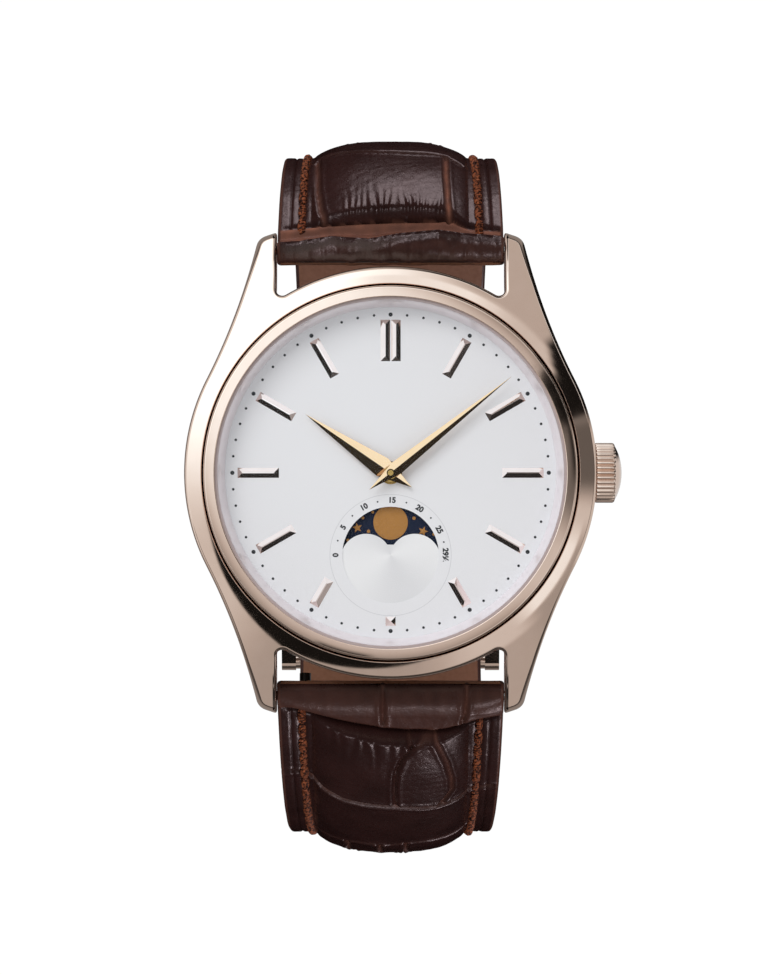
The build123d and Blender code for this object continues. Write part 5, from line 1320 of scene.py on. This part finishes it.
def stitchTree(stitch):
    # Stitches set along the lines of the mesh, standing on the leather by its out attribute
    tree, given = startTree("stitchRow", {"Pitch": "Float", "Size change": "Float", "Seed": "Int"})
    out = addNode(tree, "GeometryNodeInputNamedAttribute", {"Name": "out"}, data_type="FLOAT_VECTOR")
    curve = addNode(tree, "GeometryNodeMeshToCurve", {"Mesh": given["Geometry"]})
    spacing = {"Curve": curve, "Length": given["Pitch"]}
    spaced = addNode(tree, "GeometryNodeResampleCurve", spacing, mode="LENGTH")
    tangent = addNode(tree, "GeometryNodeInputTangent")
    turn = addNode(
        tree, "FunctionNodeAxesToRotation", [out, tangent], primary_axis="Z", secondary_axis="X"
    )
    low = addNode(tree, "ShaderNodeMath", [1.0, given["Size change"]], operation="SUBTRACT")
    high = addNode(tree, "ShaderNodeMath", [1.0, given["Size change"]], operation="ADD")
    sizes = {2: low, 3: high, "Seed": given["Seed"]}
    scale = addNode(tree, "FunctionNodeRandomValue", sizes, data_type="FLOAT")
    model = addNode(tree, "GeometryNodeObjectInfo", {"Object": stitch}).outputs["Geometry"]
    spots = {"Points": spaced, "Instance": model, "Rotation": turn, "Scale": scale}
    endTree(tree, addNode(tree, "GeometryNodeInstanceOnPoints", spots), thread)
    return tree


def makeStitching(name, shape, side, startLeft, startRight, end, tree):
    # Lines on the strap's top, a fixed way in from each edge, with the outward direction at each point
    values = stitchValues
    stations, spots, across, top = shape
    points, outs, edges = [], [], []
    for sign, start in ((-1, startLeft), (1, startRight)):
        first = len(points)
        for station in np.arange(start, end, 0.25):
            index = min(int(np.searchsorted(stations, station)), len(stations) - 1)
            point, turn, half = spots[index]
            x = sign * (half - values["inset"])
            offset = float(np.interp(x, across[index], top[index])) + values["lift"]
            out = radians(turn + 90)
            y, z = side * (point[0] + offset * cos(out)), point[1] + offset * sin(out)
            points.append((x * mm, y * mm, z * mm))
            outs.append((0.0, side * cos(out), sin(out)))
        edges += [(index, index + 1) for index in range(first, len(points) - 1)]
    mesh = bpy.data.meshes.new(name)
    mesh.from_pydata(points, edges, [])
    layer = mesh.attributes.new("out", "FLOAT_VECTOR", "POINT")
    layer.data.foreach_set("vector", np.array(outs, float).reshape(-1))
    sizes = {"Pitch": values["pitch"] * mm, "Size change": values["sizeChange"], "Seed": values["seed"]}
    return applyTree(linkPiece(name, mesh), tree, sizes)


stitch = makeStitch()
stitches = stitchTree(stitch)
shortStitching = makeStitching("shortStitching", shortShape, 1, *stitchValues["shortRows"], stitches)
longStitching = makeStitching("longStitching", longShape, -1, *stitchValues["longRows"], stitches)
bpy.data.objects.remove(stitch)
fit(shortStitching, "short_strap", "strap_leather")
fit(longStitching, "long_strap", "strap_leather")
print("stitching ready")


# Keepers: flat leather loops with rounded edges

keeperValues = {
    "half": 9.2, "wall": 1.1, "width": 4.5, "gap": 0.2, "round": 0.35, "corner": 0.7,
    "fixedAt": -0.3, "freeAt": 6.0,
}


def roundBox(halfWidth, low, high, corner, count):
    # Points of a rounded rectangle with the outward direction at each
    points = []
    for quarter, (signX, level) in enumerate(
        ((1, high - corner), (-1, high - corner), (-1, low + corner), (1, low + corner))
    ):
        for turn in quarterTurns(count):
            turn += quarter * pi / 2
            x = signX * (halfWidth - corner) + corner * cos(turn)
            points.append((x, level + corner * sin(turn), cos(turn), sin(turn)))
    return points


def makeKeeper(name, centreY):
    values = keeperValues
    high = shortLevel + strapValues["half"] + values["gap"]
    low = tailLevel - strapValues["half"] - values["gap"]
    path = roundBox(values["half"], low, high, values["corner"], 8)
    section = roundBox(values["width"] / 2, 0.0, values["wall"], values["round"], 4)
    points = [
        (x + outX * out, centreY + y, z + outZ * out)
        for x, z, outX, outZ in path for y, out, _, _ in section
    ]
    faces = bandFaces(len(path), len(section), closed=True)
    return makePiece(name, points, faces, calf, 45, 0.0005)


fixedKeeper = makeKeeper("fixedKeeper", keeperValues["fixedAt"])
fit(fixedKeeper, "short_strap", "strap_leather", "fixed_keeper")
freeKeeper = makeKeeper("freeKeeper", keeperValues["freeAt"])
fit(freeKeeper, "free_keeper", "strap_leather", "free_keeper")
print("keepers ready")


# Light: a white room, one soft lamp upper left and a tent that only reflections see

roomValues = {
    "world": 0.62, "seenWhite": 1.04, "floor": -45.3, "floorReach": 700.0, "tentRadius": 1.6,
    "coolTint": (0.9, 1.06, 1.17, 1), "sheenTint": (1.0, 0.82, 0.85),
}
lampValues = {  # watts, size and place in metres
    "softLamp": (3.0, 0.45, (-0.32, 0.42, 0.62)), "padSheen": (1.1, 0.1, (0.12, -0.42, 0.68)),
    "padGlow": (1.8, 0.4, (0.13, 0.6, -0.02)), "tailSheen": (1.8, 0.2, (0.34, -0.71, 0.07)),
}
tentLevels = [  # height of the direction, brightness
    (-1.0, 0.3), (-0.5, 0.3), (-0.35, 0.1), (0.0, 0.08), (0.08, 0.02), (0.22, 0.02), (0.28, 0.4),
    (0.45, 0.8), (0.905, 0.8), (0.925, 0.42), (0.99, 0.72),
]
tentCards = [  # clock angle, half width, softness, low edge, low edge at its ends, high edge, brightness
    (318, 45, 25, 0.28, 0.28, 0.885, 2.0),
    (12, 20, 10, 0.76, 0.76, 0.885, 1.25),
    (37, 17, 8, 0.45, 0.45, 0.74, 0.62),
    (193, 30, 12, 0.28, 0.28, 0.885, 0.5),
    (150, 25, 8, 0.45, 0.45, 0.66, 0.55),
    (122, 14, 6, 0.45, 0.45, 0.75, 0.46),
    (122, 14, 6, 0.75, 0.75, 0.885, 1.25),
    (84, 12, 5, 0.1, 0.1, 0.885, 0.16),
    (66, 7.5, 1.5, -0.05, -0.05, 0.9, 0.01),
    (60.5, 5.5, 2, -0.05, -0.05, 0.8, 0.01),
    (59.5, 6.8, 2, -0.05, -0.05, 0.765, 0.01),
    (58.5, 8.5, 2, -0.05, -0.05, 0.725, 0.01),
    (211, 52, 3, 0.69, 0.863, 0.885, 0.01),
    (318, 50, 30, 0.915, 0.915, 1.1, 1.5),
    (120, 14, 10, 0.915, 0.915, 1.1, 0.8),
    (88, 16, 8, 0.915, 0.915, 1.1, 0.2),
    (82, 9, 5, 0.9, 0.9, 0.962, 0.03),
    (65, 9.5, 1.5, 0.9, 0.9, 1.1, 0.01),
    (195, 8.5, 2, 0.905, 0.905, 0.945, 0.01),
    (300, 60, 15, -0.25, -0.25, 0.28, 0.9),
    (60, 15, 4, -0.98, -0.98, 0.28, 0.01),
    (97, 21, 5, -0.98, -0.98, 0.28, 0.75),
    (345, 90, 3, 0.29, 0.29, 0.425, 1.25),
    (165, 90, 3, 0.29, 0.29, 0.425, 0.03),
    (122, 11, 3, 0.29, 0.29, 0.425, 0.45),
]


def seenPlainly(tree):
    # 1 for rays from the camera, also through the crystal
    rays = addNode(tree, "ShaderNodeLightPath").outputs
    kinds = [rays["Is Camera Ray"], rays["Is Transmission Ray"]]
    return addNode(tree, "ShaderNodeMath", kinds, operation="MAXIMUM")


def makeFloor():
    # White paper: matt, and plain white wherever it is seen, but for a faint shadow
    material, tree, shader = startMaterial("whitePaperSweep", "#F2F2F2", 0.0, 0.9)
    glow = addNode(tree, "ShaderNodeEmission", {"Color": (1, 1, 1, 1), "Strength": roomValues["seenWhite"]})
    share = addNode(tree, "ShaderNodeMath", [seenPlainly(tree), 0.97], operation="MULTIPLY")
    mix = addNode(tree, "ShaderNodeMixShader", [share, shader, glow])
    setInputs(tree.nodes["Material Output"], {"Surface": mix})
    reach, level = roomValues["floorReach"], roomValues["floor"]
    points = [(-reach, -reach, level), (reach, -reach, level), (reach, reach, level), (-reach, reach, level)]
    return makePiece("floor", points, [(0, 1, 2, 3)], material)


def makeTent():
    # Bright panels and dark cards all round, painted by direction as clock angle and height
    material = bpy.data.materials.new("lightTent")
    material.use_nodes = True
    tree = material.node_tree
    tree.nodes.clear()
    soft = {"interpolation_type": "SMOOTHSTEP"}
    place = addNode(tree, "ShaderNodeTexCoord").outputs["Object"]
    away = addNode(tree, "ShaderNodeVectorMath", [place], operation="NORMALIZE")
    parts = addNode(tree, "ShaderNodeSeparateXYZ", [away]).outputs
    height = parts["Z"]
    clock = addNode(tree, "ShaderNodeMath", [parts["X"], parts["Y"]], operation="ARCTAN2")
    total = addNode(tree, "ShaderNodeFloatCurve", {"Value": height})
    curve = total.mapping.curves[0]
    total.mapping.clip_min_x = -1
    total.mapping.clip_max_y = 2
    for index, spot in enumerate(tentLevels):
        if index < len(curve.points):
            curve.points[index].location = spot
        else:
            curve.points.new(*spot)
    for point in curve.points:
        point.handle_type = "VECTOR"
    total.mapping.update()
    for angle, width, softness, low, endLow, high, tone in tentCards:
        offset = addNode(tree, "ShaderNodeMath", [clock, radians(angle)], operation="SUBTRACT")
        wrapped = addNode(tree, "ShaderNodeMath", [offset, pi, -pi], operation="WRAP")
        size = addNode(tree, "ShaderNodeMath", [wrapped], operation="ABSOLUTE")
        ends = [size, radians(width - softness), radians(width + softness), 1, 0]
        side = addNode(tree, "ShaderNodeMapRange", ends, **soft)
        edge = addNode(tree, "ShaderNodeMapRange", [size, 0, radians(width), low, endLow])
        over = addNode(tree, "ShaderNodeMath", [height, edge], operation="SUBTRACT")
        above = addNode(tree, "ShaderNodeMapRange", [over, -0.012, 0.012, 0, 1], **soft)
        below = addNode(tree, "ShaderNodeMapRange", [height, high - 0.03, high + 0.03, 1, 0], **soft)
        product = addNode(tree, "ShaderNodeMath", [side, above], operation="MULTIPLY")
        share = addNode(tree, "ShaderNodeMath", [product, below], operation="MULTIPLY")
        total = addNode(tree, "ShaderNodeMix", {0: share, 2: total, 3: tone}, data_type="FLOAT")
    bright = addNode(tree, "ShaderNodeMapRange", [total, 0.6, 1.4, 0, 1])
    tints = {0: bright, 6: (1, 1, 1, 1), 7: roomValues["coolTint"]}  # the brightest panels are cooler
    tint = addNode(tree, "ShaderNodeMix", tints, data_type="RGBA")
    glow = addNode(tree, "ShaderNodeEmission", {"Strength": total, "Color": tint})
    addNode(tree, "ShaderNodeOutputMaterial", {"Surface": glow})
    bpy.ops.mesh.primitive_uv_sphere_add(segments=96, ring_count=48, radius=roomValues["tentRadius"])
    tent = bpy.context.active_object
    tent.name = "lightTent"
    tent.data.materials.append(material)
    for ray in ("visible_camera", "visible_diffuse", "visible_shadow"):
        setattr(tent, ray, False)
    return tent


def linkLight(source, pieces, state):
    # Says which pieces the light reaches: only these, or all but these
    receivers = bpy.data.collections.new(source.name + "Receivers")
    source.light_linking.receiver_collection = receivers
    for piece in pieces:
        receivers.objects.link(piece)
    for entry in receivers.collection_objects:
        entry.light_linking.link_state = state


def makeLamp(name, glossy, tint=(1, 1, 1)):
    data = bpy.data.lights.new(name, "AREA")
    data.color = tint
    data.energy, data.size, place = lampValues[name]
    lamp = linkPiece(name, data)
    lamp.location = place
    lamp.rotation_euler = (-Vector(place)).to_track_quat("-Z", "Y").to_euler()
    lamp.visible_glossy = glossy
    return lamp


floor = makeFloor()
floor.visible_glossy = False  # polished metal sees the tent below the horizon too
floor.visible_shadow = False  # and the lamps that graze the leather reach it
tent = makeTent()

world = bpy.data.worlds.new("softRoom")
world.use_nodes = True
seen = seenPlainly(world.node_tree)
levels = [seen, 0, 1, roomValues["world"], roomValues["seenWhite"]]
strength = addNode(world.node_tree, "ShaderNodeMapRange", levels)
setInputs(world.node_tree.nodes["Background"], {"Color": (1, 1, 1, 1), "Strength": strength})
scene.world = world

leatherPieces = (shortStrap, longStrap, fixedKeeper, freeKeeper, shortStitching, longStitching)
linkLight(tent, leatherPieces, "EXCLUDE")
makeLamp("softLamp", False)
for name in ("padSheen", "padGlow", "tailSheen"):
    linkLight(makeLamp(name, True, roomValues["sheenTint"]), leatherPieces, "INCLUDE")

scene.view_settings.view_transform = "Standard"
print("scene ready")
